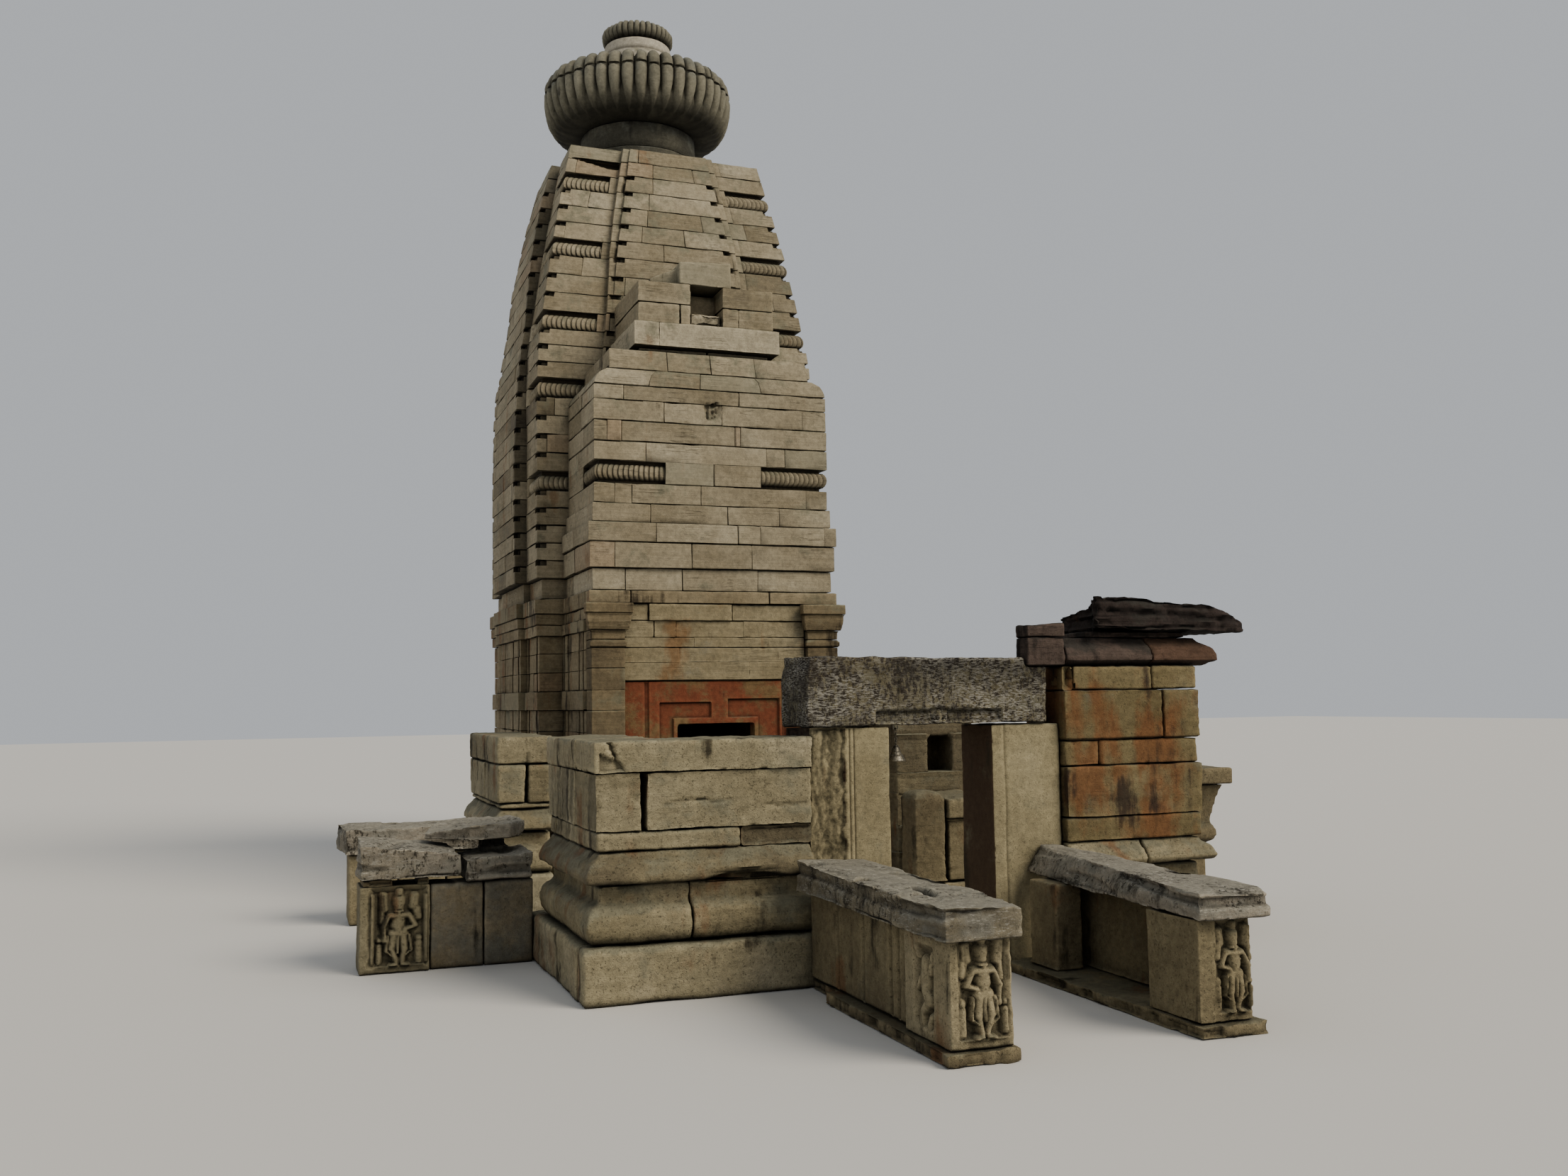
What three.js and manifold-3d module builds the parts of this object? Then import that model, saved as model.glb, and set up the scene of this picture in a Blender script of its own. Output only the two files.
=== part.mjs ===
// A small Nagara temple in sandstone: a curved-spire shrine with an amalaka crown, and in front of it
// the low moulded walls, doorway, parapet benches and side porches of a ruined square hall.
// Millimetres. +X is to the right of the entrance, +Y runs into the temple, +Z is up.
// The origin is on the ground under the centre of the spire.
import * as THREE from 'three';
import { mergeVertices } from 'three/addons/utils/BufferGeometryUtils.js';
import Module from 'manifold-3d';

const wasm = await Module();
wasm.setup();

// Joint left between neighbouring stones
const GAP = 0.3;

// Shrine, plan. The raha is the central band of each side.
const CELLA_HALF = 700;
const WALL_HALF = 1330;
const RAHA_OUT = 60;
const RAHA_SHARE = 0.52;
const CHANNEL_DEPTH = 70;
const PLINTH_OUT = 150;
const PASSAGE_HALF = 450;
const ANTARALA_HALF = 1110;
const ANTARALA_BACK_Y = -2300;
const DOOR_FACE_Y = -2430;
const DOOR_ZONE_HALF = 820;
const SANCTUM_DOOR_HALF = 345;
const PILASTER_FACE_Y = -2510;

// Shrine, levels
const FLOOR_Z = 300;
const SANCTUM_DOOR_TOP = 1400;
const DOOR_ZONE_TOP = 1770;
const CAPITAL_Z = 2050;
const FRIEZE_Z = 2281;
const WALL_TOP = 2300;
const FRONT_TOP = 2430;
const CORNICE_TOP = 2540;
const SPIRE_BASE = 2730;
const SPIRE_TOP = 7000;
// The spire by height: corner face, inner edge of the corner pier, half the raha, raha face
const SPIRE_CURVE = [
  [2730, 1355, 813, 705, 1447],
  [4000, 1355, 813, 705, 1456],
  [4500, 1355, 780, 700, 1430],
  [4930, 1335, 735, 675, 1392],
  [5220, 1292, 700, 650, 1348],
  [5890, 1185, 640, 575, 1280],
  [6320, 1099, 575, 500, 1199],
  [6590, 1045, 525, 455, 1143],
  [7000, 955, 450, 385, 1035],
];
// Tops of the five storeys, each closed by a cushion roll in a slot round the corner piers
const STOREY_TOPS = [3715, 4585, 5240, 5985, 6690];
// The slot and its roll, as [depth behind the face, height from the slot's top]
const SLOT_DEPTH = 50;
const ROLL_PROFILE = [
  [0, -177], [SLOT_DEPTH, -175], [16, -152], [0, -104], [16, -56], [SLOT_DEPTH, -33], [SLOT_DEPTH, -2],
];

// Front gable of the spire
const GABLE_HALF = 1065;
const GABLE_FACE_Y = -2430;
const GABLE_TOP = 4650;
// The gable's outline as [height, half-width, face]
const GABLE_ROWS = [
  [SPIRE_BASE, 1110, -2470], [2950, 1110, -2470], [2951, 1127, -2480], [3120, 1127, -2480],
  [3121, 1085, -2445], [3285, 1083, -2445], [3286, GABLE_HALF, GABLE_FACE_Y],
  [4300, GABLE_HALF, GABLE_FACE_Y], [4360, 1052, -2428], [4410, 1018, -2424], [4445, 965, -2418],
  [4460, 925, -2410], [GABLE_TOP, 905, -2330],
];
// Its cushion roll runs in from each front corner to this distance from the middle
const GABLE_ROLL_END = 440;
const GABLE_ROLL_TOP = 3660;
// How far gable and niche run back before they are cut to the spire's faces
const GABLE_BACK_Y = -1200;
const NICHE_FACE_Y = -2300;
const NICHE_LEDGE_HALF = 675;
const NICHE_LEDGE_TOP = 4930;
const NICHE_HALF = 630;
const NICHE_TOP = 5300;
const NICHE_HOLE_HALF = 150;
const NICHE_HOLE_Z = [4968, 5264];

// Crown. Its stones stand a little off the spire's axis. Profiles are [radius, height].
const CROWN_X = -40;
const NECK = [
  [0, SPIRE_TOP + GAP], [640, SPIRE_TOP + GAP], [640, 7080], [600, 7100], [600, 7500 - GAP],
  [0, 7500 - GAP],
];
const AMALAKA = [
  [620, 7500], [800, 7530], [905, 7610], [962, 7730], [980, 7860], [975, 7950], [945, 8020], [880, 8070],
  [770, 8100], [620, 8110],
];
const AMALAKA_RIBS = 44;
const CROWN_BELL = [
  [0, 8110 + GAP], [435, 8110 + GAP], [430, 8165], [392, 8200], [350, 8440], [345, 8520 - GAP],
  [0, 8520 - GAP],
];
const CROWN_CUSHION = [[250, 8520], [330, 8540], [368, 8590], [375, 8640], [352, 8690], [270, 8715]];
const CROWN_RIBS = 36;

// Hall, plan
const HALL_HALF = 2040;
const HALL_FRONT_Y = -6516;
const SET_BACK = 88;
const HALL_WALL = 560;
const REAR_WALL = 500;
const DOOR_LEFT_X = -700;
const DOOR_RIGHT_X = 965;
const DOORWAY_X = [-190, 490];
const JAMB_Y = [-6376, -5976];
const PORCH_Y0 = -5084;
const PORCH_Y1 = -3150;
const HALL_BACK_Y = -1500;

// Hall, levels
const PLINTH_TOP = 300;
const BASE_TOP = 790;
const RIGHT_BASE_TOP = 705;
const COPING_Z = 1215;
const COPING_TOP = 1390;
const LINTEL_Z = 1434;
const LINTEL_TOP = 1850;
const CORNICE_Z = 1780;
const CORNICE_CAP = 1960;
const TOP_SLAB_Z = 2000;

// Centre of the pin that the bell's top ring swings on
const BELL_PIN = [-75, -6216, 1414];
const PIN_R = 3;
const LINK_R = 8.5;
const LINK_HALF = 12.5;
const LINK_TUBE = 2.2;

// Parapet benches
const BENCH_W = 308;
const BENCH_OUT = 1040;
const BLOCK_TOP = 515;
const SILL_TOP = 60;
const SEAT_Z = 540;
const PORCH_SLAB_Z = 550;
const LOOSE_SLAB_Z = 750;

function closedGeometry(rings) {
  const count = rings[0].points.length;
  const positions = [];
  for (const ring of rings) {
    ring.points.forEach(([x, y]) => positions.push(x, y, ring.z));
  }
  const index = [];
  for (let level = 0; level + 1 < rings.length; level += 1) {
    for (let i = 0; i < count; i += 1) {
      const a = level * count + i;
      const b = level * count + ((i + 1) % count);
      index.push(a, b, b + count, a, b + count, a + count);
    }
  }
  const cap = (ring, base, up) => {
    const contour = ring.points.map(([x, y]) => new THREE.Vector2(x, y));
    for (const [a, b, c] of THREE.ShapeUtils.triangulateShape(contour, [])) {
      index.push(...(up ? [base + a, base + b, base + c] : [base + a, base + c, base + b]));
    }
  };
  cap(rings[0], 0, false);
  cap(rings.at(-1), (rings.length - 1) * count, true);
  const geometry = new THREE.BufferGeometry();
  geometry.setAttribute('position', new THREE.Float32BufferAttribute(positions, 3));
  geometry.setIndex(index);
  return geometry;
}

function toSolid(geometry) {
  const bare = geometry.clone();
  bare.deleteAttribute('normal');
  bare.deleteAttribute('uv');
  const merged = mergeVertices(bare, 1e-3);
  const mesh = new wasm.Mesh({
    numProp: 3,
    vertProperties: new Float32Array(merged.attributes.position.array),
    triVerts: new Uint32Array(merged.index.array),
  });
  return new wasm.Manifold(mesh);
}

function toGeometry(solid) {
  const mesh = solid.getMesh();
  const geometry = new THREE.BufferGeometry();
  geometry.setAttribute('position', new THREE.BufferAttribute(new Float32Array(mesh.vertProperties), 3));
  geometry.setIndex(new THREE.BufferAttribute(new Uint32Array(mesh.triVerts), 1));
  return geometry;
}

function join(...geometries) {
  return toGeometry(geometries.map(toSolid).reduce((sum, next) => sum.add(next)));
}

function cut(geometry, ...cutters) {
  return toGeometry(cutters.map(toSolid).reduce((rest, next) => rest.subtract(next), toSolid(geometry)));
}

function block(x0, x1, y0, y1, z0, z1) {
  const geometry = new THREE.BoxGeometry(x1 - x0, y1 - y0, z1 - z0);
  return geometry.translate((x0 + x1) / 2, (y0 + y1) / 2, (z0 + z1) / 2);
}

function prism(points, z0, z1) {
  return closedGeometry([{ z: z0, points }, { z: z1, points }]);
}

// A block whose listed sides follow a moulding profile of [inset, height] points
function mouldedBlock([x0, x1, y0, y1], sides, profile) {
  const side = (name, inset) => (sides.includes(name) ? inset : 0);
  return closedGeometry(profile.map(([inset, z]) => ({
    z,
    points: [
      [x0 + side('left', inset), y0 + side('front', inset)],
      [x1 - side('right', inset), y0 + side('front', inset)],
      [x1 - side('right', inset), y1 - side('back', inset)],
      [x0 + side('left', inset), y1 - side('back', inset)],
    ],
  })));
}

// A slab with an uneven outline, its top corners at their own heights
function roughSlab(corners, z0, tops, upper = corners) {
  const under = corners.map(([x, y]) => [x, y, z0]);
  const over = upper.map(([x, y], i) => [x, y, tops[i]]);
  const count = corners.length;
  const index = [];
  for (let i = 0; i < count; i += 1) {
    const next = (i + 1) % count;
    index.push(i, next, next + count, i, next + count, i + count);
  }
  const outline = corners.map(([x, y]) => new THREE.Vector2(x, y));
  for (const [a, b, c] of THREE.ShapeUtils.triangulateShape(outline, [])) {
    index.push(a, c, b, a + count, b + count, c + count);
  }
  const geometry = new THREE.BufferGeometry();
  geometry.setAttribute('position', new THREE.Float32BufferAttribute([...under, ...over].flat(), 3));
  geometry.setIndex(index);
  return geometry;
}

function mirrorX(geometry) {
  const flipped = geometry.clone().scale(-1, 1, 1);
  const index = flipped.index.array;
  for (let i = 0; i < index.length; i += 3) {
    [index[i], index[i + 1]] = [index[i + 1], index[i]];
  }
  return flipped;
}

const colours = {
  sandstone: '#a8946f',
  paleStone: '#b9a67f',
  darkStone: '#6d6554',
  greyStone: '#8f897b',
  redOchre: '#8d4632',
  brass: '#8c7a55',
};

const temple = new THREE.Group();

function addPart(name, geometry, colour = 'sandstone') {
  const metal = colour === 'brass';
  const material = new THREE.MeshStandardMaterial({
    color: colours[colour],
    roughness: metal ? 0.5 : 0.9,
    metalness: metal ? 1 : 0,
  });
  const mesh = new THREE.Mesh(geometry, material);
  mesh.name = name;
  temple.add(mesh);
}

// Base mouldings of the shrine: plinth band, torus, neck and drip slab, then the plain wall
const SHRINE_PROFILE = [
  [-120, FLOOR_Z + GAP], [-135, 360], [-120, 460], [-40, 500], [-40, 560], [-110, 600], [-110, 660],
  [-30, 720], [0, 730], [0, WALL_TOP - GAP],
];

function shrineSideWall(grow = 0) {
  const raha = WALL_HALF * RAHA_SHARE;
  const profile = SHRINE_PROFILE.map(([inset, z]) => [inset - grow, z]);
  const corner = [-WALL_HALF, -CELLA_HALF, -WALL_HALF, WALL_HALF];
  const middle = [-WALL_HALF - RAHA_OUT, -CELLA_HALF, -raha, raha];
  return join(
    mouldedBlock(corner, ['left', 'front', 'back'], profile),
    mouldedBlock(middle, ['left', 'front', 'back'], profile),
  );
}

// Plan of a course that covers the shrine and its throat
function courseOutline(half, throatHalf, frontY, rahaHalf = half * RAHA_SHARE) {
  const out = half + RAHA_OUT;
  const right = [
    [throatHalf, frontY], [throatHalf, -half], [half, -half], [half, -rahaHalf], [out, -rahaHalf],
    [out, rahaHalf], [half, rahaHalf], [half, half], [rahaHalf, half], [rahaHalf, out],
  ];
  const left = right.map(([x, y]) => [-x, y]).reverse();
  return [...right, ...left];
}

function addShrineBody() {
  const plinth = courseOutline(
    WALL_HALF + PLINTH_OUT, ANTARALA_HALF + PLINTH_OUT, PILASTER_FACE_Y - 90,
    WALL_HALF * RAHA_SHARE + PLINTH_OUT);
  addPart('shrine_plinth', prism(plinth, 0, FLOOR_Z));

  addPart('sanctum_wall_left', shrineSideWall());
  addPart('sanctum_wall_right', mirrorX(shrineSideWall()));
  const back = [-CELLA_HALF + GAP, CELLA_HALF - GAP, CELLA_HALF, WALL_HALF + RAHA_OUT];
  const sideWalls = [shrineSideWall(GAP), mirrorX(shrineSideWall(GAP))];
  addPart('sanctum_wall_back', cut(mouldedBlock(back, ['back'], SHRINE_PROFILE), ...sideWalls));

  const flank = mouldedBlock(
    [-ANTARALA_HALF, -PASSAGE_HALF, ANTARALA_BACK_Y, -WALL_HALF], ['left'], SHRINE_PROFILE);
  const cellaFront = block(
    -CELLA_HALF + GAP, -PASSAGE_HALF, -WALL_HALF - 50, -CELLA_HALF, FLOOR_Z + GAP, WALL_TOP - GAP);
  const throatWall = cut(join(flank, cellaFront), shrineSideWall(GAP));
  addPart('antarala_wall_left', throatWall);
  addPart('antarala_wall_right', mirrorX(throatWall));

  addPart('wall_cornice', join(
    prism(courseOutline(WALL_HALF + 35, ANTARALA_HALF, ANTARALA_BACK_Y), WALL_TOP, CORNICE_TOP),
    block(-ANTARALA_HALF - 10, ANTARALA_HALF + 10, DOOR_FACE_Y - 50, ANTARALA_BACK_Y + 40,
      FRONT_TOP, CORNICE_TOP)));
  addPart('recessed_course', prism(
    courseOutline(WALL_HALF - 30, ANTARALA_HALF - 30, DOOR_FACE_Y - 10),
    CORNICE_TOP + GAP, SPIRE_BASE - GAP));
}

// Capital of the throat's pilasters: neck ring, bell and abacus
const CAPITAL = [
  [0, CAPITAL_Z], [-15, 2065], [-15, 2100], [10, 2120], [10, 2180], [-25, 2200], [-45, 2280], [-45, 2330],
  [-60, 2340], [-60, FRONT_TOP - GAP],
];

function addSanctumFront() {
  const surround = cut(
    block(-DOOR_ZONE_HALF, DOOR_ZONE_HALF, DOOR_FACE_Y, ANTARALA_BACK_Y - GAP, FLOOR_Z + GAP, DOOR_ZONE_TOP),
    block(-SANCTUM_DOOR_HALF, SANCTUM_DOOR_HALF, DOOR_FACE_Y - 100, ANTARALA_BACK_Y + 100,
      0, SANCTUM_DOOR_TOP));
  addPart('sanctum_door_surround', surround, 'redOchre');
  addPart('overdoor_wall', join(
    block(-DOOR_ZONE_HALF, DOOR_ZONE_HALF, DOOR_FACE_Y - 20, ANTARALA_BACK_Y - GAP,
      DOOR_ZONE_TOP + GAP, FRONT_TOP - GAP),
    block(-600, 700, DOOR_FACE_Y - 45, DOOR_FACE_Y, FRIEZE_Z, FRONT_TOP - GAP)));

  const pilaster = join(
    block(-ANTARALA_HALF, -DOOR_ZONE_HALF - GAP, PILASTER_FACE_Y, ANTARALA_BACK_Y - GAP,
      FLOOR_Z + GAP, FRONT_TOP - GAP),
    mouldedBlock([-ANTARALA_HALF, -DOOR_ZONE_HALF, PILASTER_FACE_Y, DOOR_FACE_Y - 50],
      ['left', 'right', 'front'], CAPITAL));
  addPart('pilaster_left', pilaster);
  addPart('pilaster_right', mirrorX(pilaster));
}

function spireSection(z) {
  const above = Math.max(1, SPIRE_CURVE.findIndex(([level]) => level >= z));
  const [z1, ...upper] = SPIRE_CURVE[above];
  const [z0, ...lower] = SPIRE_CURVE[above - 1];
  return lower.map((value, i) => THREE.MathUtils.mapLinear(z, z0, z1, value, upper[i]));
}

// The spire's plan at one height: corner piers, narrow channels and the raha on each side
function spireOutline(z, grow, depth) {
  const [face, pierEdge, rahaHalf, rahaFace] = spireSection(z);
  const edge = face + grow - depth;
  const inner = pierEdge - grow;
  const raha = rahaHalf + grow;
  const channel = face - CHANNEL_DEPTH + grow;
  const out = rahaFace + grow;
  const side = [
    [-edge, -edge], [-inner, -edge], [-inner, -channel], [-raha, -channel], [-raha, -out],
    [raha, -out], [raha, -channel], [inner, -channel], [inner, -edge],
  ];
  const turn = ([x, y], quarter) => [[x, y], [-y, x], [-x, -y], [y, -x]][quarter];
  return [0, 1, 2, 3].flatMap((quarter) => side.map((point) => turn(point, quarter)));
}

const inSlot = (z) => STOREY_TOPS.some((top) => z < top && z >= top + ROLL_PROFILE[0][1]);

// Every level at which the spire's outline bends, as [depth of the slot, height]
const SPIRE_LEVELS = [
  ...SPIRE_CURVE.filter(([z]) => !inSlot(z)).map(([z]) => [0, z]),
  ...STOREY_TOPS.flatMap((top) => [...ROLL_PROFILE.map(([depth, dz]) => [depth, top + dz]), [0, top]]),
].sort((a, b) => a[1] - b[1]);

function spireTier(z0, z1) {
  const between = SPIRE_LEVELS.filter(([, z]) => z > z0 && z < z1);
  const levels = [[0, z0], ...between, [inSlot(z1) ? SLOT_DEPTH : 0, z1]];
  return closedGeometry(levels.map(([depth, z]) => ({ z, points: spireOutline(z, 0, depth) })));
}

// The whole spire without its slots, grown by the joint, to fit other stones against it
function spireCutter() {
  return closedGeometry(SPIRE_LEVELS.map(([, z]) => ({ z, points: spireOutline(z, GAP, 0) })));
}

function addSpire() {
  const breaks = [SPIRE_BASE, STOREY_TOPS[0], STOREY_TOPS[2], STOREY_TOPS[3], SPIRE_TOP];
  const names = ['spire_base', 'spire_lower', 'spire_middle', 'spire_upper'];
  names.forEach((name, i) => {
    const top = i + 1 === names.length ? breaks[i + 1] : breaks[i + 1] - GAP;
    addPart(name, spireTier(breaks[i], top));
  });

  const cutter = spireCutter();
  const body = closedGeometry(GABLE_ROWS.map(([z, half, front]) => ({
    z,
    points: [[-half, front], [half, front], [half, GABLE_BACK_Y], [-half, GABLE_BACK_Y]],
  })));
  const slot = block(-GABLE_HALF - SLOT_DEPTH, -GABLE_ROLL_END, GABLE_FACE_Y - SLOT_DEPTH, GABLE_BACK_Y,
    GABLE_ROLL_TOP + ROLL_PROFILE[1][1], GABLE_ROLL_TOP);
  const rollRows = ROLL_PROFILE.slice(1).map(([inset, dz]) => [inset, GABLE_ROLL_TOP + dz]);
  const first = [SLOT_DEPTH, GABLE_ROLL_TOP + ROLL_PROFILE[0][1] - 5];
  const last = [SLOT_DEPTH, GABLE_ROLL_TOP + 5];
  const roll = mouldedBlock([-GABLE_HALF, -GABLE_ROLL_END + 1, GABLE_FACE_Y, GABLE_BACK_Y],
    ['left', 'front'], [first, ...rollRows, last]);
  const gable = join(cut(body, slot, mirrorX(slot)), roll, mirrorX(roll));
  addPart('front_gable', cut(gable, cutter));

  const niche = join(
    block(-NICHE_LEDGE_HALF, NICHE_LEDGE_HALF, NICHE_FACE_Y, GABLE_BACK_Y, GABLE_TOP + GAP, NICHE_LEDGE_TOP),
    block(-NICHE_HALF, NICHE_HALF, NICHE_FACE_Y + 30, GABLE_BACK_Y, NICHE_LEDGE_TOP - 30, NICHE_TOP));
  const hole = block(
    -NICHE_HOLE_HALF, NICHE_HOLE_HALF, NICHE_FACE_Y - 100, NICHE_FACE_Y + 300, ...NICHE_HOLE_Z);
  addPart('niche_box', cut(niche, hole, cutter));
  const cap = roughSlab([[-250, -2260], [245, -2240], [230, GABLE_BACK_Y], [-240, GABLE_BACK_Y]],
    NICHE_TOP + GAP, [5500, 5540, 5560, 5520]);
  const brokenStone = roughSlab([[-480, -2080], [-240, -2160], [-240, -1700], [-430, -1650]],
    NICHE_TOP + GAP, [5380, 5470, 5480, 5400]);
  addPart('niche_cap', cut(join(cap, brokenStone), cutter));
}

// A cushion stone with rounded ribs, turned about the crown's axis
function ribbedCushion(profile, ribs, depth) {
  const rings = profile.map(([r, z]) => {
    const points = [];
    for (let i = 0; i < ribs * 2; i += 1) {
      const angle = (Math.PI * i) / ribs;
      const radius = r - (i % 2 ? depth : 0);
      points.push([CROWN_X + radius * Math.cos(angle), radius * Math.sin(angle)]);
    }
    return { z, points };
  });
  return closedGeometry(rings);
}

function turned(profile, segments) {
  return new THREE.LatheGeometry(profile.map(([r, z]) => new THREE.Vector2(r, z)), segments)
    .rotateX(Math.PI / 2);
}

function addCrown() {
  addPart('spire_neck', turned(NECK, 32).translate(CROWN_X, 0, 0));
  addPart('amalaka', ribbedCushion(AMALAKA, AMALAKA_RIBS, 35));
  addPart('crown_bell', turned(CROWN_BELL, 32).translate(CROWN_X, 0, 0));
  addPart('crown_cushion', ribbedCushion(CROWN_CUSHION, CROWN_RIBS, 18));
}

// Base mouldings of the hall walls: plinth, torus, neck and sloping drip slab
const HALL_BASE = [
  [0, 0], [0, 285], [20, PLINTH_TOP], [70, 305], [35, 340], [22, 405], [35, 470], [75, 505],
  [110, 510], [110, 615], [25, 625], [15, 665], [50, 730], [100, 765], [100, BASE_TOP],
];

// An L of wall round the hall's front left corner
function hallCorner(profile, innerX) {
  const sides = ['left', 'front'];
  return join(
    mouldedBlock([-HALL_HALF, innerX, HALL_FRONT_Y, HALL_FRONT_Y + HALL_WALL], sides, profile),
    mouldedBlock([-HALL_HALF, -HALL_HALF + HALL_WALL, HALL_FRONT_Y, PORCH_Y0], sides, profile));
}

function addHallWalls() {
  // Plain footing of the side wall behind the porch bench
  const footing = block(-HALL_HALF, -HALL_HALF + HALL_WALL, PORCH_Y0 - 50, PORCH_Y0 + BENCH_W, 0, 280);
  addPart('front_left_base', join(hallCorner(HALL_BASE, DOOR_LEFT_X - GAP), footing));
  addPart('front_left_wall', hallCorner([
    [SET_BACK + 8, BASE_TOP + GAP], [SET_BACK + 8, 898], [SET_BACK, 900], [SET_BACK, COPING_Z - GAP],
  ], DOOR_LEFT_X - GAP));
  addPart('front_left_coping', hallCorner(
    [[SET_BACK - 15, COPING_Z], [SET_BACK - 15, COPING_TOP]], DOOR_LEFT_X - GAP));

  const lowBase = HALL_BASE.map(([inset, z]) => [inset, (z * RIGHT_BASE_TOP) / BASE_TOP]);
  const rightInner = -DOOR_RIGHT_X - GAP;
  addPart('front_right_base', mirrorX(join(hallCorner(lowBase, rightInner), footing)));
  addPart('front_right_wall', mirrorX(hallCorner([
    [SET_BACK, RIGHT_BASE_TOP + GAP], [SET_BACK, 853], [SET_BACK - 10, 855], [SET_BACK - 10, 1163],
    [SET_BACK + 5, 1165], [SET_BACK + 5, 1320], [SET_BACK - 10, 1322], [SET_BACK - 10, 1628],
    [SET_BACK - 5, 1630], [SET_BACK - 5, CORNICE_Z - GAP]], rightInner)));
  addRightCornice();
  addRearWalls();
}

// Eave moulding over the right front wall, the broken stone beside it and the roof slab left on top
function addRightCornice() {
  const eave = [
    [70, CORNICE_Z], [0, 1812], [0, 1845], [22, 1890], [95, 1935], [105, CORNICE_CAP],
  ];
  const frontArm = [960, 2110, -6450, HALL_FRONT_Y + HALL_WALL];
  const sideArm = [HALL_HALF - HALL_WALL, 2110, -6450, PORCH_Y0];
  addPart('front_right_cornice', join(
    mouldedBlock(frontArm, ['front', 'right'], eave),
    mouldedBlock(sideArm, ['front', 'right'], eave),
    block(1190, 1940, -6330, -5500, CORNICE_CAP - 10, TOP_SLAB_Z - GAP),
    roughSlab([[725, -6425], [985, -6440], [985, -6230], [735, -6260]], CORNICE_Z, [2035, 2050, 2030, 2040]),
  ), 'darkStone');
  addPart('front_right_top_slab', roughSlab(
    [[1150, -6480], [2080, -6450], [2365, -6430], [2330, -5500], [1560, -5420], [1480, -5950]],
    TOP_SLAB_Z, [2230, 2180, 2045, 2040, 2140, 2200]), 'darkStone');
}

function addRearWalls() {
  const rear = [-HALL_HALF, -HALL_HALF + REAR_WALL, PORCH_Y1, HALL_BACK_Y];
  // Footing that ties the rear wall to the shrine's plinth
  const footing = block(
    -HALL_HALF + REAR_WALL - 50, -ANTARALA_HALF - PLINTH_OUT - GAP, -1900, HALL_BACK_Y, 0, 280);
  addPart('rear_left_base', join(mouldedBlock(rear, ['left', 'front'], HALL_BASE), footing));
  addPart('rear_left_wall', mouldedBlock(rear, ['left', 'front'], [
    [SET_BACK, BASE_TOP + GAP], [SET_BACK, 830], [SET_BACK - 12, 832], [SET_BACK - 12, 1130],
    [SET_BACK - 20, 1132], [SET_BACK - 20, 1350]]));

  // The right rear wall is plainer and has a square recess under its top beam
  const recess = block(1662, 1884, PORCH_Y1 - 100, PORCH_Y1 + 320, 950, 1262);
  addPart('rear_right_wall', join(mirrorX(footing), cut(
    mouldedBlock([1360, 2120, PORCH_Y1, HALL_BACK_Y], ['right', 'front'], [
      [0, 0], [0, 772], [-6, 774], [-6, 940], [0, 942], [0, 1262], [20, 1264], [20, 1352]]),
    recess)));
  addPart('right_inner_pillar', join(
    block(1200, 1990, -3740, PORCH_Y1 - GAP, 0, 120),
    mouldedBlock([1255, 1530, -3700, -3420], ['left', 'right', 'front', 'back'], [
      [0, 110], [0, 780], [25, 825], [80, 850]])));
  addPart('right_inner_bench', join(
    block(1560, 1880, -3690, -3190, 120 + GAP, 620),
    roughSlab([[1540, -3730], [1900, -3720], [1930, -3180], [1545, -3170]], 610, [780, 795, 820, 800])));
}

function addDoorway() {
  const [leftX, rightX] = DOORWAY_X;
  const [front, back] = JAMB_Y;
  addPart('doorway_jamb_left', block(DOOR_LEFT_X, leftX, front, back, 0, LINTEL_Z - GAP), 'paleStone');
  addPart('doorway_jamb_right', block(rightX, DOOR_RIGHT_X, front, back, 0, LINTEL_Z - GAP), 'paleStone');
  addPart('doorway_lintel', join(
    block(-715, 868, front - 30, back, LINTEL_Z, CORNICE_Z - GAP),
    roughSlab([[-700, front - 30], [715, front - 30], [715, back], [-700, back]],
      CORNICE_Z - 80, [LINTEL_TOP, 1835, 1835, LINTEL_TOP])), 'greyStone');
}

// The left bench: a panelled parapet, a carved end block and a worn seat slab
function addLeftBench() {
  const [x0, x1, endY, backY] = [-794, -486, -8268, -7801];
  addPart('left_bench_wall', join(
    block(x0 - 40, x1 + 20, endY - 40, -6880, 0, SILL_TOP),
    block(x0 + 30, x1 - 30, backY + GAP, HALL_FRONT_Y - GAP, 0, SEAT_Z)));
  addPart('left_bench_block', block(x0, x1, endY, backY, SILL_TOP + GAP, SEAT_Z), 'paleStone');
  addPart('left_bench_slab', roughSlab(
    [[x0 - 50, endY - 60], [x1 + 30, endY - 60], [x1 + 45, endY + 300], [x1 + 60, HALL_FRONT_Y - 20],
      [x0 - 60, HALL_FRONT_Y - 20], [x0 - 75, endY + 200]],
    SEAT_Z + GAP, [685, 675, 690, 700, 710, 690]), 'greyStone');
}

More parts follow.
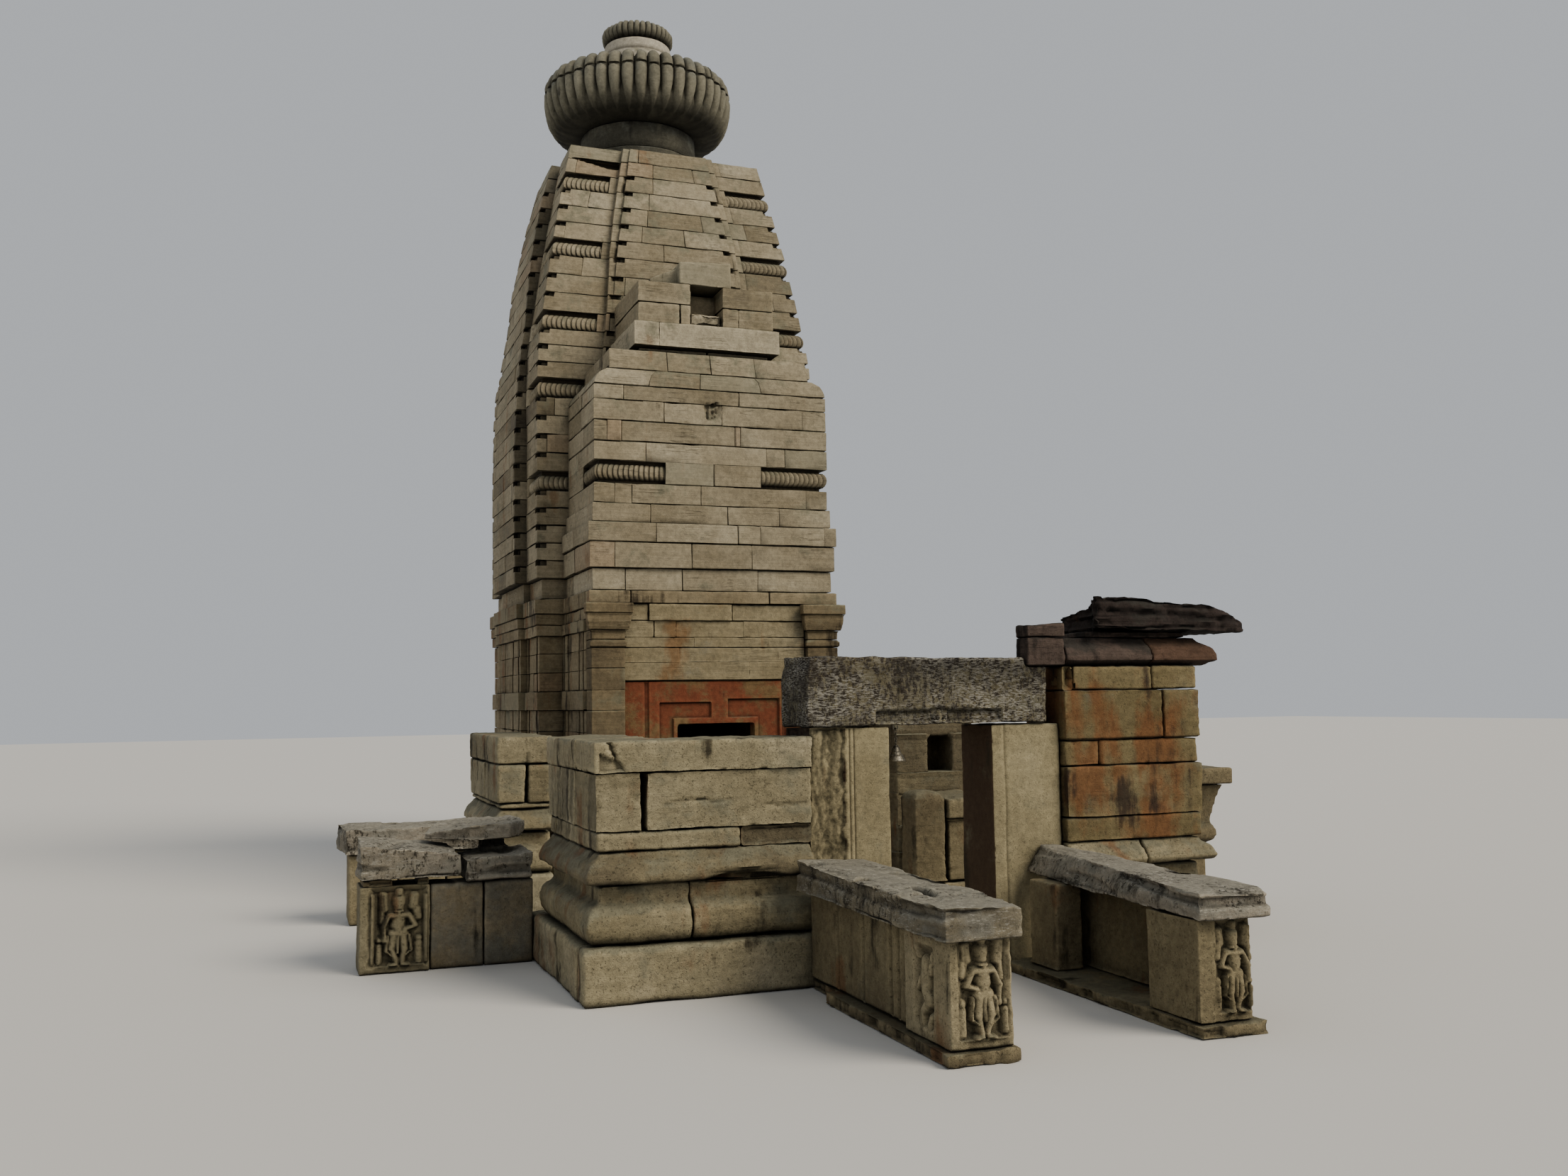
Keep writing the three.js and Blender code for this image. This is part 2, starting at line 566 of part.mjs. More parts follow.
// The right bench has lost its inner panel: a pillar and the outer panel carry the slab's back end
function addRightBench() {
  const [x0, x1, endY, backY] = [492, 790, -8290, -7883];
  addPart('right_bench_wall', join(
    block(x0 - 30, x1 + 60, endY - 50, HALL_FRONT_Y - GAP, 0, SILL_TOP),
    block(560, 730, -6930, -6630, SILL_TOP - 10, SEAT_Z),
    block(800, 870, backY + 40, HALL_FRONT_Y - GAP, SILL_TOP - 10, SEAT_Z)));
  addPart('right_bench_block', block(x0, x1, endY, backY, SILL_TOP + GAP, SEAT_Z), 'paleStone');
  addPart('right_bench_slab', roughSlab(
    [[455, -8355], [850, -8375], [945, -8180], [900, HALL_FRONT_Y - 20], [900, JAMB_Y[0] - GAP],
      [690, JAMB_Y[0] - GAP], [560, -7300]],
    SEAT_Z + GAP, [675, 660, 665, 700, 700, 700, 690],
    [[460, -8350], [845, -8370], [940, -8180], [895, HALL_FRONT_Y - 20], [895, JAMB_Y[0] - GAP],
      [790, JAMB_Y[0] - GAP], [634, -7300]]), 'greyStone');
}

function addLeftPorch() {
  const outX = -HALL_HALF - BENCH_OUT;
  const stoneY = [PORCH_Y0 + 15, PORCH_Y0 + 260];
  addPart('porch_near_block', join(
    block(outX, outX + 410, PORCH_Y0, PORCH_Y0 + BENCH_W, 0, BLOCK_TOP),
    block(outX + 20, outX + 190, ...stoneY, BLOCK_TOP - 5, PORCH_SLAB_Z - GAP),
    block(outX + 340, outX + 405, ...stoneY, BLOCK_TOP - 5, PORCH_SLAB_Z - GAP)));
  addPart('porch_near_panel', block(outX + 410 + GAP, -HALL_HALF - GAP, PORCH_Y0 + 20,
    PORCH_Y0 + BENCH_W - 20, 0, BLOCK_TOP), 'darkStone');
  addPart('porch_near_slab_outer', roughSlab(
    [[outX - 10, PORCH_Y0 - 20], [outX + 600, PORCH_Y0 - 30], [outX + 560, PORCH_Y0 + 480],
      [outX, PORCH_Y0 + 480]],
    PORCH_SLAB_Z, [770, 690, 720, 790]), 'greyStone');
  addPart('porch_near_slab_inner', join(
    roughSlab([[outX + 615, PORCH_Y0 - 20], [-HALL_HALF - GAP, PORCH_Y0 - 10],
      [-HALL_HALF - GAP, PORCH_Y0 + 450], [outX + 615, PORCH_Y0 + 450]],
    BLOCK_TOP + GAP, [650, 680, 690, 660]),
    block(-2340, -2150, PORCH_Y0 + 330, PORCH_Y0 + 440, BLOCK_TOP + 50, LOOSE_SLAB_Z - GAP)), 'greyStone');
  addPart('porch_loose_slab', roughSlab(
    [[-2690, -4790], [-2420, -4960], [-2170, -4960], [-2050, -4780], [-2060, -4330], [-2560, -4290]],
    LOOSE_SLAB_Z, [800, 845, 860, 855, 860, 835]), 'greyStone');

  const farY = PORCH_Y1 + 20;
  addPart('porch_far_bench', block(outX + 30, -HALL_HALF - GAP, farY, farY + BENCH_W, 0, BLOCK_TOP));
  addPart('porch_far_slab', roughSlab(
    [[outX, farY - 60], [-HALL_HALF - GAP, farY - 60], [-HALL_HALF - GAP, farY + 360],
      [outX - 40, farY + 380]],
    BLOCK_TOP + GAP, [700, 700, 710, 720]), 'greyStone');
}

// The right porch keeps its two benches and a vase-moulded pillar base at the near outer corner
function addRightPorch() {
  const outX = HALL_HALF + BENCH_OUT;
  const [baseX, baseY, capHalf] = [2860, PORCH_Y0 + BENCH_W / 2, 300];
  const profile = [
    [100, 0], [100, 90], [159, 120], [159, 479], [110, 505], [93, 540], [93, 584], [115, 625], [127, 641],
    [108, 729], [88, 818], [65, 901], [62, 920], [0, 922], [0, 1048],
  ];
  addPart('right_porch_pillar_base', mouldedBlock(
    [baseX - capHalf, baseX + capHalf, baseY - capHalf, baseY + capHalf],
    ['left', 'right', 'front', 'back'], profile));
  addPart('right_porch_near_bench', join(
    block(HALL_HALF + GAP, 2600, PORCH_Y0, PORCH_Y0 + BENCH_W, 0, BLOCK_TOP),
    block(HALL_HALF + GAP, baseX - capHalf + profile[5][0] - GAP, PORCH_Y0 - 20, PORCH_Y0 + BENCH_W + 40,
      BLOCK_TOP - 5, 650)));
  const farY = PORCH_Y1 + 20;
  addPart('right_porch_far_bench', join(
    block(2120 + GAP, outX, farY, farY + BENCH_W, 0, BLOCK_TOP),
    block(2120 + GAP, outX + 40, farY - 40, farY + BENCH_W + 40, BLOCK_TOP - 5, 690)));
}

// One chain link that hangs on the vertical axis, half its length given, turned about that axis
function link(halfLength, z, turn) {
  return new THREE.TorusGeometry(LINK_R, LINK_TUBE, 6, 16).scale(1, halfLength / LINK_R, 1)
    .rotateX(Math.PI / 2).rotateZ(turn).translate(0, 0, z);
}

function addBell() {
  const [pinX, pinY, pinZ] = BELL_PIN;
  const place = (geometry) => geometry.translate(pinX, pinY, 0);
  const leg = (x) => block(x - PIN_R, x + PIN_R, -PIN_R, PIN_R, pinZ - PIN_R, LINTEL_Z - GAP);
  const pin = new THREE.CylinderGeometry(PIN_R, PIN_R, 28, 12).rotateZ(Math.PI / 2).translate(0, 0, pinZ);
  addPart('bell_staple', place(join(leg(-14), leg(14), pin)), 'brass');

  const bite = 2 * LINK_TUBE - 0.2;
  let z = pinZ + PIN_R + 0.5 - (LINK_R - LINK_TUBE);
  const links = [link(LINK_R, z, Math.PI / 2)];
  let reach = LINK_R;
  for (let i = 1; i < 5; i += 1) {
    z -= reach + LINK_HALF - bite;
    reach = LINK_HALF;
    links.push(link(LINK_HALF, z, i % 2 ? 0 : Math.PI / 2));
  }
  addPart('bell_chain', place(join(...links)), 'brass');

  const top = z - LINK_HALF * (1 + LINK_TUBE / LINK_R) - GAP;
  const shell = [[0, -12], [17, -18], [22, -30], [30, -52], [42, -74], [51, -94], [56, -94], [56, -88],
    [46, -72], [34, -52], [26, -30], [22, -14], [16, -6], [9, 0], [0, 0]];
  const clapper = [[0, -90], [6, -87], [9, -80], [7, -73], [2.5, -69], [2.5, -8], [0, -8]];
  const lifted = (profile) => profile.map(([r, height]) => [r, top + height]);
  addPart('bell', place(join(turned(lifted(shell), 24), turned(lifted(clapper), 10))), 'brass');
}

addShrineBody();
addSanctumFront();
addSpire();
addCrown();
addHallWalls();
addDoorway();
addLeftBench();
addRightBench();
addLeftPorch();
addRightPorch();
addBell();

export default temple;
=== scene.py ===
# A small Nagara temple in weathered sandstone: a curved-spire shrine with a ribbed crown, and the
# low moulded walls, doorway, benches and porches of its ruined hall. Metres, +Z up.
import functools
import math
import random

import bmesh
import bpy
import numpy as np
from mathutils import Matrix, Vector, noise


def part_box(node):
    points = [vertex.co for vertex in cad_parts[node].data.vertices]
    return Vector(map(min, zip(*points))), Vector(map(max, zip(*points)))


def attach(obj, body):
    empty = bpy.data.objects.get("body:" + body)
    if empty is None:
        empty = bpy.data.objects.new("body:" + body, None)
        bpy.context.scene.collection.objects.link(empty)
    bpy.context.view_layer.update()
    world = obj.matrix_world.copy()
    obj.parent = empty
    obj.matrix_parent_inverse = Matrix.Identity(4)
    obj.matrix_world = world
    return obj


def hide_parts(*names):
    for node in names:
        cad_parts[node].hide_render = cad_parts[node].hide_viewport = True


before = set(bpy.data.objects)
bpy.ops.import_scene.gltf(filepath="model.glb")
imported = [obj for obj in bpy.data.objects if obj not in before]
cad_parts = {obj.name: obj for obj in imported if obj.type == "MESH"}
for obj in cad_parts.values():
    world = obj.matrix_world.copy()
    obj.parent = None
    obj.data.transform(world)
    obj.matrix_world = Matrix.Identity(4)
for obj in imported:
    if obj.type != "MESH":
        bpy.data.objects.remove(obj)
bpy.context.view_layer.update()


# Camera, floor and light

# The visitor's eye: its place in metres, its turn in degrees, and its lens on a 36 mm wide frame
EYE_PLACE = (-3.57404, -13.72257, 1.6)
EYE_YAW, EYE_PITCH, EYE_ROLL = 20.449, 4.653, -0.833
LENS_MM, FRAME_MM = 31.40, 36.0


def set_camera():
    """The visitor's eye, low at the hall's front left corner."""
    yaw, pitch, roll = (math.radians(turn) for turn in (EYE_YAW, EYE_PITCH, EYE_ROLL))
    forward = Vector((math.sin(yaw) * math.cos(pitch), math.cos(yaw) * math.cos(pitch), math.sin(pitch)))
    level = Vector((math.cos(yaw), -math.sin(yaw), 0.0))
    upright = level.cross(forward)
    right = level * math.cos(roll) + upright * math.sin(roll)
    up = upright * math.cos(roll) - level * math.sin(roll)
    data = bpy.data.cameras.new("visitor_eye")
    data.sensor_fit = "HORIZONTAL"
    data.sensor_width = FRAME_MM
    data.lens = LENS_MM
    data.clip_start = 0.05
    data.clip_end = 200.0
    camera = bpy.data.objects.new("visitor_eye", data)
    turn = Matrix((right, up, -forward)).transposed().to_4x4()
    camera.matrix_world = Matrix.Translation(EYE_PLACE) @ turn
    bpy.context.scene.collection.objects.link(camera)
    bpy.context.scene.camera = camera


def srgb(code):
    """A hex colour as the linear values that shaders take."""
    values = [int(code[i:i + 2], 16) / 255 for i in (1, 3, 5)]
    linear = [v / 12.92 if v <= 0.04045 else ((v + 0.055) / 1.055) ** 2.4 for v in values]
    return (*linear, 1.0)


def add_node(tree, kind, settings=None, inputs=None):
    """One shader node with its settings and its values or links."""
    made = tree.nodes.new(kind)
    for name, value in (settings or {}).items():
        setattr(made, name, value)
    for socket, value in (inputs or {}).items():
        if isinstance(value, bpy.types.NodeSocket):
            tree.links.new(value, made.inputs[socket])
        else:
            made.inputs[socket].default_value = value
    return made


def new_material(name):
    """An empty material and its node tree."""
    made = bpy.data.materials.new(name)
    made.use_nodes = True
    made.node_tree.nodes.clear()
    return made, made.node_tree


FLOOR_REACH, FLOOR_DROP = 60.0, 0.002
SKY_STRENGTH, SUN_STRENGTH, SUN_SPREAD = 0.60, 2.9, 34
SUN_WAY = (-0.55, 0.62, -0.75)


def set_floor():
    """A plain pale floor just under the stones' feet."""
    material, tree = new_material("pale_floor")
    shader = add_node(tree, "ShaderNodeBsdfPrincipled", inputs={
        "Base Color": srgb("#c9c7c2"), "Roughness": 0.9})
    add_node(tree, "ShaderNodeOutputMaterial", inputs={"Surface": shader.outputs[0]})
    grid = bmesh.new()
    bmesh.ops.create_grid(grid, x_segments=8, y_segments=8, size=FLOOR_REACH)
    mesh = bpy.data.meshes.new("floor")
    grid.to_mesh(mesh)
    grid.free()
    mesh.materials.append(material)
    floor = bpy.data.objects.new("floor", mesh)
    floor.location.z = -FLOOR_DROP
    bpy.context.scene.collection.objects.link(floor)


def set_light():
    """An overcast sky and a weak wide sun behind the visitor's right shoulder."""
    world = bpy.data.worlds.new("overcast_sky")
    world.use_nodes = True
    world.node_tree.nodes.clear()
    sky = add_node(world.node_tree, "ShaderNodeBackground", inputs={
        "Color": srgb("#e9edf2"), "Strength": SKY_STRENGTH})
    add_node(world.node_tree, "ShaderNodeOutputWorld", inputs={"Surface": sky.outputs[0]})
    bpy.context.scene.world = world

    sun = bpy.data.lights.new("cloudy_sun", "SUN")
    sun.energy = SUN_STRENGTH
    sun.angle = math.radians(SUN_SPREAD)
    sun.color = srgb("#fff4e2")[:3]
    lamp = bpy.data.objects.new("cloudy_sun", sun)
    lamp.rotation_euler = Vector(SUN_WAY).to_track_quat("-Z", "Y").to_euler()
    bpy.context.scene.collection.objects.link(lamp)


# Stone finishes

# Patterns on the stone: name, features to the metre, detail, roughness, stretch in x y z, shift
STONE_PATTERNS = [
    ("clouds", 1.7, 7.0, 0.62, (1.0, 1.0, 1.0), 0.0),
    ("beds", 1.0, 4.0, 0.55, (2.5, 2.5, 60.0), 0.0),
    ("grain", 170.0, 3.0, 0.60, (1.0, 1.0, 1.0), 0.0),
    ("speckle", 24.0, 8.0, 0.72, (1.0, 1.0, 1.0), 0.0),
    ("pits", 80.0, 4.0, 0.60, (1.0, 1.0, 1.0), 19.0),
    ("splits", 1.0, 3.0, 0.50, (1.6, 1.6, 34.0), 7.0),
    ("split_places", 3.1, 3.0, 0.60, (1.0, 1.0, 1.0), 3.0),
    ("wash_places", 2.4, 8.0, 0.70, (1.0, 1.0, 1.0), 5.0),
    ("film_places", 3.3, 9.0, 0.70, (1.0, 1.0, 1.0), 1.0),
    ("iron_runs", 1.0, 5.0, 0.60, (3.2, 3.2, 0.5), 11.0),
    ("iron_places", 1.9, 5.0, 0.60, (1.0, 1.0, 1.0), 13.0),
    ("rain_runs", 1.0, 7.0, 0.62, (7.0, 7.0, 0.7), 0.0),
    ("rain_places", 2.3, 6.0, 0.60, (1.0, 1.0, 1.0), 17.0),
    ("mould_runs", 1.0, 6.0, 0.72, (44.0, 44.0, 24.0), 29.0),
    ("crusts", 60.0, 4.0, 0.60, (0.60, 0.60, 2.6), 0.0),
    ("crust_places", 4.0, 6.0, 0.60, (1.0, 1.0, 1.0), 23.0)]


def stone_finish(name, tones, patina, patina_cover, stain, stain_cover, rust="#6f4a2d", rust_cover=0.0,
                 tooling_mm=2.0, bedding=0.7, pitting=0.3, mould=0.0, flecks=0.0, flank=None, wash=None,
                 moved=0.0):
    """Weathered stone. tones are the quarry colours that blocks vary between, patina the grey film of
    lichen, stain the black run-off of rain, rust the orange run-off of iron, bedding the strength of
    the quarry beds, pitting that of the small pits, mould that of the black mould, flecks that of the
    white lichen crust, flank a colour worn on the sides that face the passage, wash a limewash colour
    left in patches, and moved slides the patterns along X, in metres. Sizes are of the real stone: beds
    about 16 mm apart, grain about 6 mm so that it shows, pits about 12 mm, patches of film about 300 mm,
    crust about 17 mm."""
    material, tree = new_material(name)
    sides = add_node(tree, "ShaderNodeSeparateXYZ", inputs={
        0: add_node(tree, "ShaderNodeNewGeometry").outputs["Normal"]})
    # Ambient occlusion, read below to paint shade into hollows and joints
    hollows = add_node(tree, "ShaderNodeAmbientOcclusion", {"samples": 6}, {"Distance": 0.13})
    seen = {
        "block": add_node(tree, "ShaderNodeAttribute", {"attribute_name": "tone"}).outputs["Fac"],
        "wear": add_node(tree, "ShaderNodeAttribute", {"attribute_name": "wear"}).outputs["Fac"],
        "hollow": hollows.outputs["AO"],
        "across": sides.outputs["X"], "upward": sides.outputs["Z"]}
    # Each step is a sum, or a band: source, low, high, value at low, value at high
    steps = [
        ("toned", "MULTIPLY_ADD", "block", 0.26, -0.02),
        ("toned", "MULTIPLY_ADD", "clouds", 0.72, "toned"),
        ("toned", "MULTIPLY_ADD", "beds", 0.34 * bedding, "toned"),
        ("toned", "ADD", "toned", 0.17 * (1 - bedding)),
        ("mottle", "band", "speckle", 0.25, 0.75, 0.72, 1.22),
        ("grained", "band", "grain", 0.30, 0.70, 0.88, 1.09),
        ("pitted", "band", "pits", 0.30, 0.42, 1 - 0.5 * pitting, 1.0),
        ("splits", "COMPARE", "splits", 0.5, 0.012),
        ("split_places", "band", "split_places", 0.52, 0.62, 0.0, bedding),
        ("split", "MULTIPLY", "splits", "split_places"),
        ("split_dark", "band", "split", 0.0, 1.0, 1.0, 0.55),
        ("grey_block", "COMPARE", "block", 0.93, 0.035),
        ("grey_block", "MULTIPLY", "grey_block", 0.45),
        ("film", "MULTIPLY_ADD", "upward", 0.20, "film_places"),
        ("film", "band", "film", 0.66 - 0.28 * patina_cover, 0.80 - 0.22 * patina_cover, 0.0, 0.85),
        ("rain", "MULTIPLY", "rain_runs", "rain_places"),
        # Rain stain is laid heavier on faces turned to the left, as painted shade on that side
        ("rain", "MULTIPLY_ADD", "across", -0.045, "rain"),
        ("rain", "band", "rain", 0.40 - 0.22 * stain_cover, 0.49 - 0.20 * stain_cover, 0.0, 0.88),
        # Painted shade: darker in hollows and joints from ambient occlusion, and on faces turned downward
        ("hollow_shade", "band", "hollow", 0.10, 0.90, 0.28, 1.05),
        ("underside", "band", "upward", -0.15, -0.85, 1.0, 0.27),
        # wear: edges rubbed pale, and painted shade in grooves, notches, channels, creases and hollows
        ("worn", "band", "wear", -2.0, 1.0, 0.20, 1.12),
        ("height", "MULTIPLY_ADD", "speckle", 2.2, "grain"),
        ("height", "MULTIPLY_ADD", "pitted", 2.0, "height"),
        ("height", "MULTIPLY_ADD", "split", -1.5, "height"),
        ("height", "MULTIPLY_ADD", "beds", 1.8 * bedding, "height")]
    # Coats over the quarry colour: colour or None for a shade, amount, whether it is mottled
    coats = [(None, "mottle", False), (None, "grained", False), (None, "pitted", False),
             (None, "split_dark", False), (patina, "grey_block", False)]
    if wash:
        steps += [("wash", "band", "wash_places", 0.42, 0.54, 0.0, 0.92)]
        coats += [(wash, "wash", True)]
    if flank:
        steps += [("flank", "band", "across", -0.5, -0.8, 0.0, 0.85)]
        coats += [(flank, "flank", False)]
    coats += [(patina, "film", True)]
    if rust_cover:
        steps += [("iron", "MULTIPLY", "iron_runs", "iron_places"),
                  ("iron", "MULTIPLY_ADD", "across", -0.035, "iron"),
                  ("iron", "band", "iron", 0.39 - 0.22 * rust_cover, 0.48 - 0.20 * rust_cover, 0.0,
                   0.45 + 0.5 * min(rust_cover, 0.8)),
                  ("rusty_block", "COMPARE", "block", 0.845, 0.03),
                  ("rusty_block", "MULTIPLY", "rusty_block", 0.30)]
        coats += [(rust, "rusty_block", True), (rust, "iron", True)]
    coats += [(stain, "rain", False)]
    if mould:
        steps += [("mould", "MULTIPLY_ADD", "rain_places", 0.5, "mould_runs"),
                  ("mould", "band", "mould", 0.86 - 0.22 * mould, 0.94 - 0.22 * mould, 0.0, 0.85)]
        coats += [(stain, "mould", False)]
    if flecks:
        steps += [("crusts", "band", "crusts", 0.58 - 0.10 * flecks, 0.66 - 0.10 * flecks, 0.0, 1.0),
                  ("crust_places", "band", "crust_places", 0.40, 0.60, 0.15, 0.75),
                  ("crust", "MULTIPLY", "crusts", "crust_places")]
        coats += [("#a8a498", "crust", False)]
    # Painted shade darkens hollows, joints and undersides, and the wear values rub edges pale and paint shade
    # into grooves and creases
    coats += [(None, "hollow_shade", False), (None, "underside", False), (None, "worn", False)]

    place = add_node(tree, "ShaderNodeTexCoord").outputs["Object"]
    wanted = {value for step in steps for value in step}
    for label, scale, detail, roughness, stretch, shift in STONE_PATTERNS:
        if label in wanted:
            spread = add_node(tree, "ShaderNodeMapping", inputs={
                "Vector": place, "Location": (shift - moved * stretch[0], shift, shift),
                "Scale": stretch}).outputs[0]
            seen[label] = add_node(tree, "ShaderNodeTexNoise", inputs={
                "Vector": spread, "Scale": scale, "Detail": detail, "Roughness": roughness}).outputs["Fac"]
    for label, work, *values in steps:
        values = [seen.get(value, value) for value in values]
        if work == "band":
            sockets = ("Value", "From Min", "From Max", "To Min", "To Max")
            seen[label] = add_node(tree, "ShaderNodeMapRange", {"interpolation_type": "SMOOTHSTEP"},
                                   dict(zip(sockets, values))).outputs[0]
        else:
            seen[label] = add_node(tree, "ShaderNodeMath", {"operation": work},
                                   dict(enumerate(values))).outputs[0]

    ramp = add_node(tree, "ShaderNodeValToRGB", inputs={"Fac": seen["toned"]})
    spots = ramp.color_ramp.elements
    while len(spots) < len(tones):
        spots.new(0.5)
    for i, tone in enumerate(tones):
        spots[i].position = 0.33 + 0.50 * i / (len(tones) - 1)
        spots[i].color = srgb(tone)
    colour = ramp.outputs["Color"]
    for coat, amount, mottled in coats:
        over = colour if coat is None else srgb(coat)
        if coat is None or mottled:
            over = add_node(tree, "ShaderNodeVectorMath", {"operation": "SCALE"}, {
                0: over if coat is None else over[:3],
                "Scale": seen["mottle" if mottled else amount]}).outputs[0]
        if coat is not None:
            over = add_node(tree, "ShaderNodeMix", {"data_type": "RGBA"}, {
                0: seen[amount], 6: colour, 7: over}).outputs[2]
        colour = over
    bump = add_node(tree, "ShaderNodeBump", inputs={
        "Height": seen["height"], "Distance": tooling_mm / 1000, "Strength": 1.0}).outputs[0]
    shader = add_node(tree, "ShaderNodeBsdfPrincipled", inputs={
        "Base Color": colour, "Roughness": 0.92, "Normal": bump, "IOR": 1.45, "Specular IOR Level": 0.25})
    add_node(tree, "ShaderNodeOutputMaterial", inputs={"Surface": shader.outputs[0]})
    return material


# Quarried buff sandstone, tooled flat and sun-bleached: matt, with brown beds and a thin grey film
SANDSTONE = stone_finish(
    "buff_sandstone", ["#6a6150", "#81765e", "#92876f", "#9f947b", "#aba189"], "#76735f", 0.45,
    "#2f2a20", 0.12, rust="#7a5636", rust_cover=0.13, bedding=0.8)
# The shrine's shaded walls, browner and more stained
WALL_STONE = stone_finish(
    "damp_wall_sandstone", ["#5a4f3c", "#73664d", "#877a60", "#988b6f"], "#6f6b56", 0.45,
    "#2b241a", 0.32, rust_cover=0.28, bedding=0.6)
# The same stone where it stays wet: greyer and darker
GREY_STONE = stone_finish(
    "lichened_sandstone", ["#4a4334", "#62583f", "#766b54", "#887d66"], "#67655a", 0.8,
    "#211e18", 0.35, rust_cover=0.22, tooling_mm=4.0, bedding=0.3, pitting=0.6)
# Almost black with old rain stain, purple-brown where the skin is off
DARK_STONE = stone_finish(
    "rain_blackened_sandstone", ["#251f1b", "#352c28", "#453a33", "#554840"], "#33302b", 0.40,
    "#14110e", 0.55, rust_cover=0.24, tooling_mm=5.0, bedding=0.7, pitting=0.5)
# The hall's front stones, bright on their rubbed faces, with run-off below the joints
HALL_STONE = stone_finish(
    "pitted_hall_sandstone", ["#635a46", "#80765b", "#988e71", "#aea387"], "#76735f", 0.5,
    "#2a241a", 0.34, rust="#744c2e", rust_cover=0.36, tooling_mm=5.0, bedding=0.3, pitting=0.8)
# The doorway's uprights, dressed smooth and pale, with a rubbed red-brown side towards the passage
JAMB_STONE = stone_finish(
    "pale_jamb_sandstone", ["#6f664b", "#887d5f", "#9b9070", "#aa9f80"], "#77735e", 0.35,
    "#3a3325", 0.20, rust_cover=0.12, tooling_mm=3.0, bedding=0.1, pitting=0.6, flank="#3a2118")
# The crown, grey with lichen over buff
CROWN_STONE = stone_finish(
    "lichened_crown_sandstone", ["#4c4a40", "#656254", "#7b7766", "#918c79"], "#6d6d62", 0.55,
    "#262420", 0.28, tooling_mm=3.0, bedding=0.3)
# The crown's bell, washed pale by rain
PALE_STONE = stone_finish(
    "rain_washed_sandstone", ["#7d7361", "#968c79", "#aaa18e", "#bab2a0"], "#87836f", 0.35,
    "#38332a", 0.10, bedding=0.4)
# The benches' carved ends and parapets, brown and rain-stained
BENCH_STONE = stone_finish(
    "bench_sandstone", ["#534a37", "#6b6049", "#81765a", "#958a6d"], "#6c6854", 0.35,
    "#241f16", 0.28, rust="#6d4729", rust_cover=0.34, tooling_mm=5.0, bedding=0.2, pitting=0.8)
# Seats split along the bed, crusted white and black
SEAT_STONE = stone_finish(
    "worn_seat_sandstone", ["#534c3c", "#6c6452", "#837b67", "#989080"], "#7f7c70", 0.75,
    "#26221b", 0.38, tooling_mm=4.0, bedding=0.3, pitting=0.5, mould=0.22, flecks=0.25)
# The lintel, purple-black with mould in its pits and flecked with pale crust
LINTEL_STONE = stone_finish(
    "lichened_lintel_sandstone", ["#4a4234", "#61583f", "#77705a", "#8d866f"], "#73705f", 0.5,
    "#241c1a", 0.50, tooling_mm=5.0, bedding=0.3, pitting=0.8, mould=0.84, flecks=1.0)
# The right wall, streaked orange below the iron-rich beds
RUST_STONE = stone_finish(
    "rust_run_sandstone", ["#4a4029", "#605437", "#75694a", "#8b7f60"], "#5d5a49", 0.35,
    "#2d231d", 0.52, rust="#724a2b", rust_cover=0.70, tooling_mm=4.0, bedding=0.2, pitting=0.6,
    moved=0.38)
# Over the door, where iron has run down from the beds above
OVERDOOR_STONE = stone_finish(
    "iron_run_door_sandstone", ["#62573f", "#796d51", "#8b7f62", "#9a8f72"], "#747060", 0.4,
    "#3a2e20", 0.18, rust="#7b5836", rust_cover=0.50, tooling_mm=3.0, bedding=0.5,
    moved=-0.55)
# Red ochre wash brushed on the door stones
OCHRE_STONE = stone_finish(
    "ochre_washed_sandstone", ["#5a452e", "#70593b", "#846b49", "#937b59"], "#6b5a45", 0.10,
    "#2b1c15", 0.26, tooling_mm=3.0, bedding=0.2, wash="#763f2a")
# Shadowed bedding mortar and core stone seen in the joints
JOINT_STONE = stone_finish(
    "joint_stone", ["#2a251c", "#3a3326", "#4a4231"], "#35322a", 0.4, "#15130f", 0.4)


def brass_finish(name):
    """Cast brass, dulled brown by weather: half rough, with a mottled skin about 8 mm across."""
    material, tree = new_material(name)
    place = add_node(tree, "ShaderNodeTexCoord").outputs["Object"]
    mottle = add_node(tree, "ShaderNodeTexNoise", inputs={
        "Vector": place, "Scale": 120.0, "Detail": 5.0}).outputs["Fac"]
    ramp = add_node(tree, "ShaderNodeValToRGB", inputs={"Fac": mottle})
    ramp.color_ramp.elements[0].position = 0.35
    ramp.color_ramp.elements[0].color = srgb("#57534a")
    ramp.color_ramp.elements[1].position = 0.70
    ramp.color_ramp.elements[1].color = srgb("#a8a190")
    rough = add_node(tree, "ShaderNodeMapRange", inputs={
        "Value": mottle, "To Min": 0.35, "To Max": 0.65}).outputs[0]
    bump = add_node(tree, "ShaderNodeBump", inputs={
        "Height": mottle, "Distance": 0.0005, "Strength": 0.5}).outputs[0]
    shader = add_node(tree, "ShaderNodeBsdfPrincipled", inputs={
        "Base Color": ramp.outputs["Color"], "Metallic": 0.9, "Roughness": rough, "Normal": bump})
    add_node(tree, "ShaderNodeOutputMaterial", inputs={"Surface": shader.outputs[0]})
    return material


BELL_BRASS = brass_finish("weathered_brass")


# Stones in courses

# Pieces with more triangles than the first figure keep the second figure's share of them
FEW_TRIANGLES, KEPT_SHARE = 12000, 0.38


def thinned(made):
    """Leave out the triangles that flat surfaces can do without."""
    thin = made.modifiers.new("thin", "DECIMATE")
    thin.ratio = KEPT_SHARE
    graph = bpy.context.evaluated_depsgraph_get()
    mesh = bpy.data.meshes.new_from_object(made.evaluated_get(graph), depsgraph=graph)
    full = made.data
    made.modifiers.clear()
    made.data = mesh
    bpy.data.meshes.remove(full)
    mesh.name = made.name
    return mesh


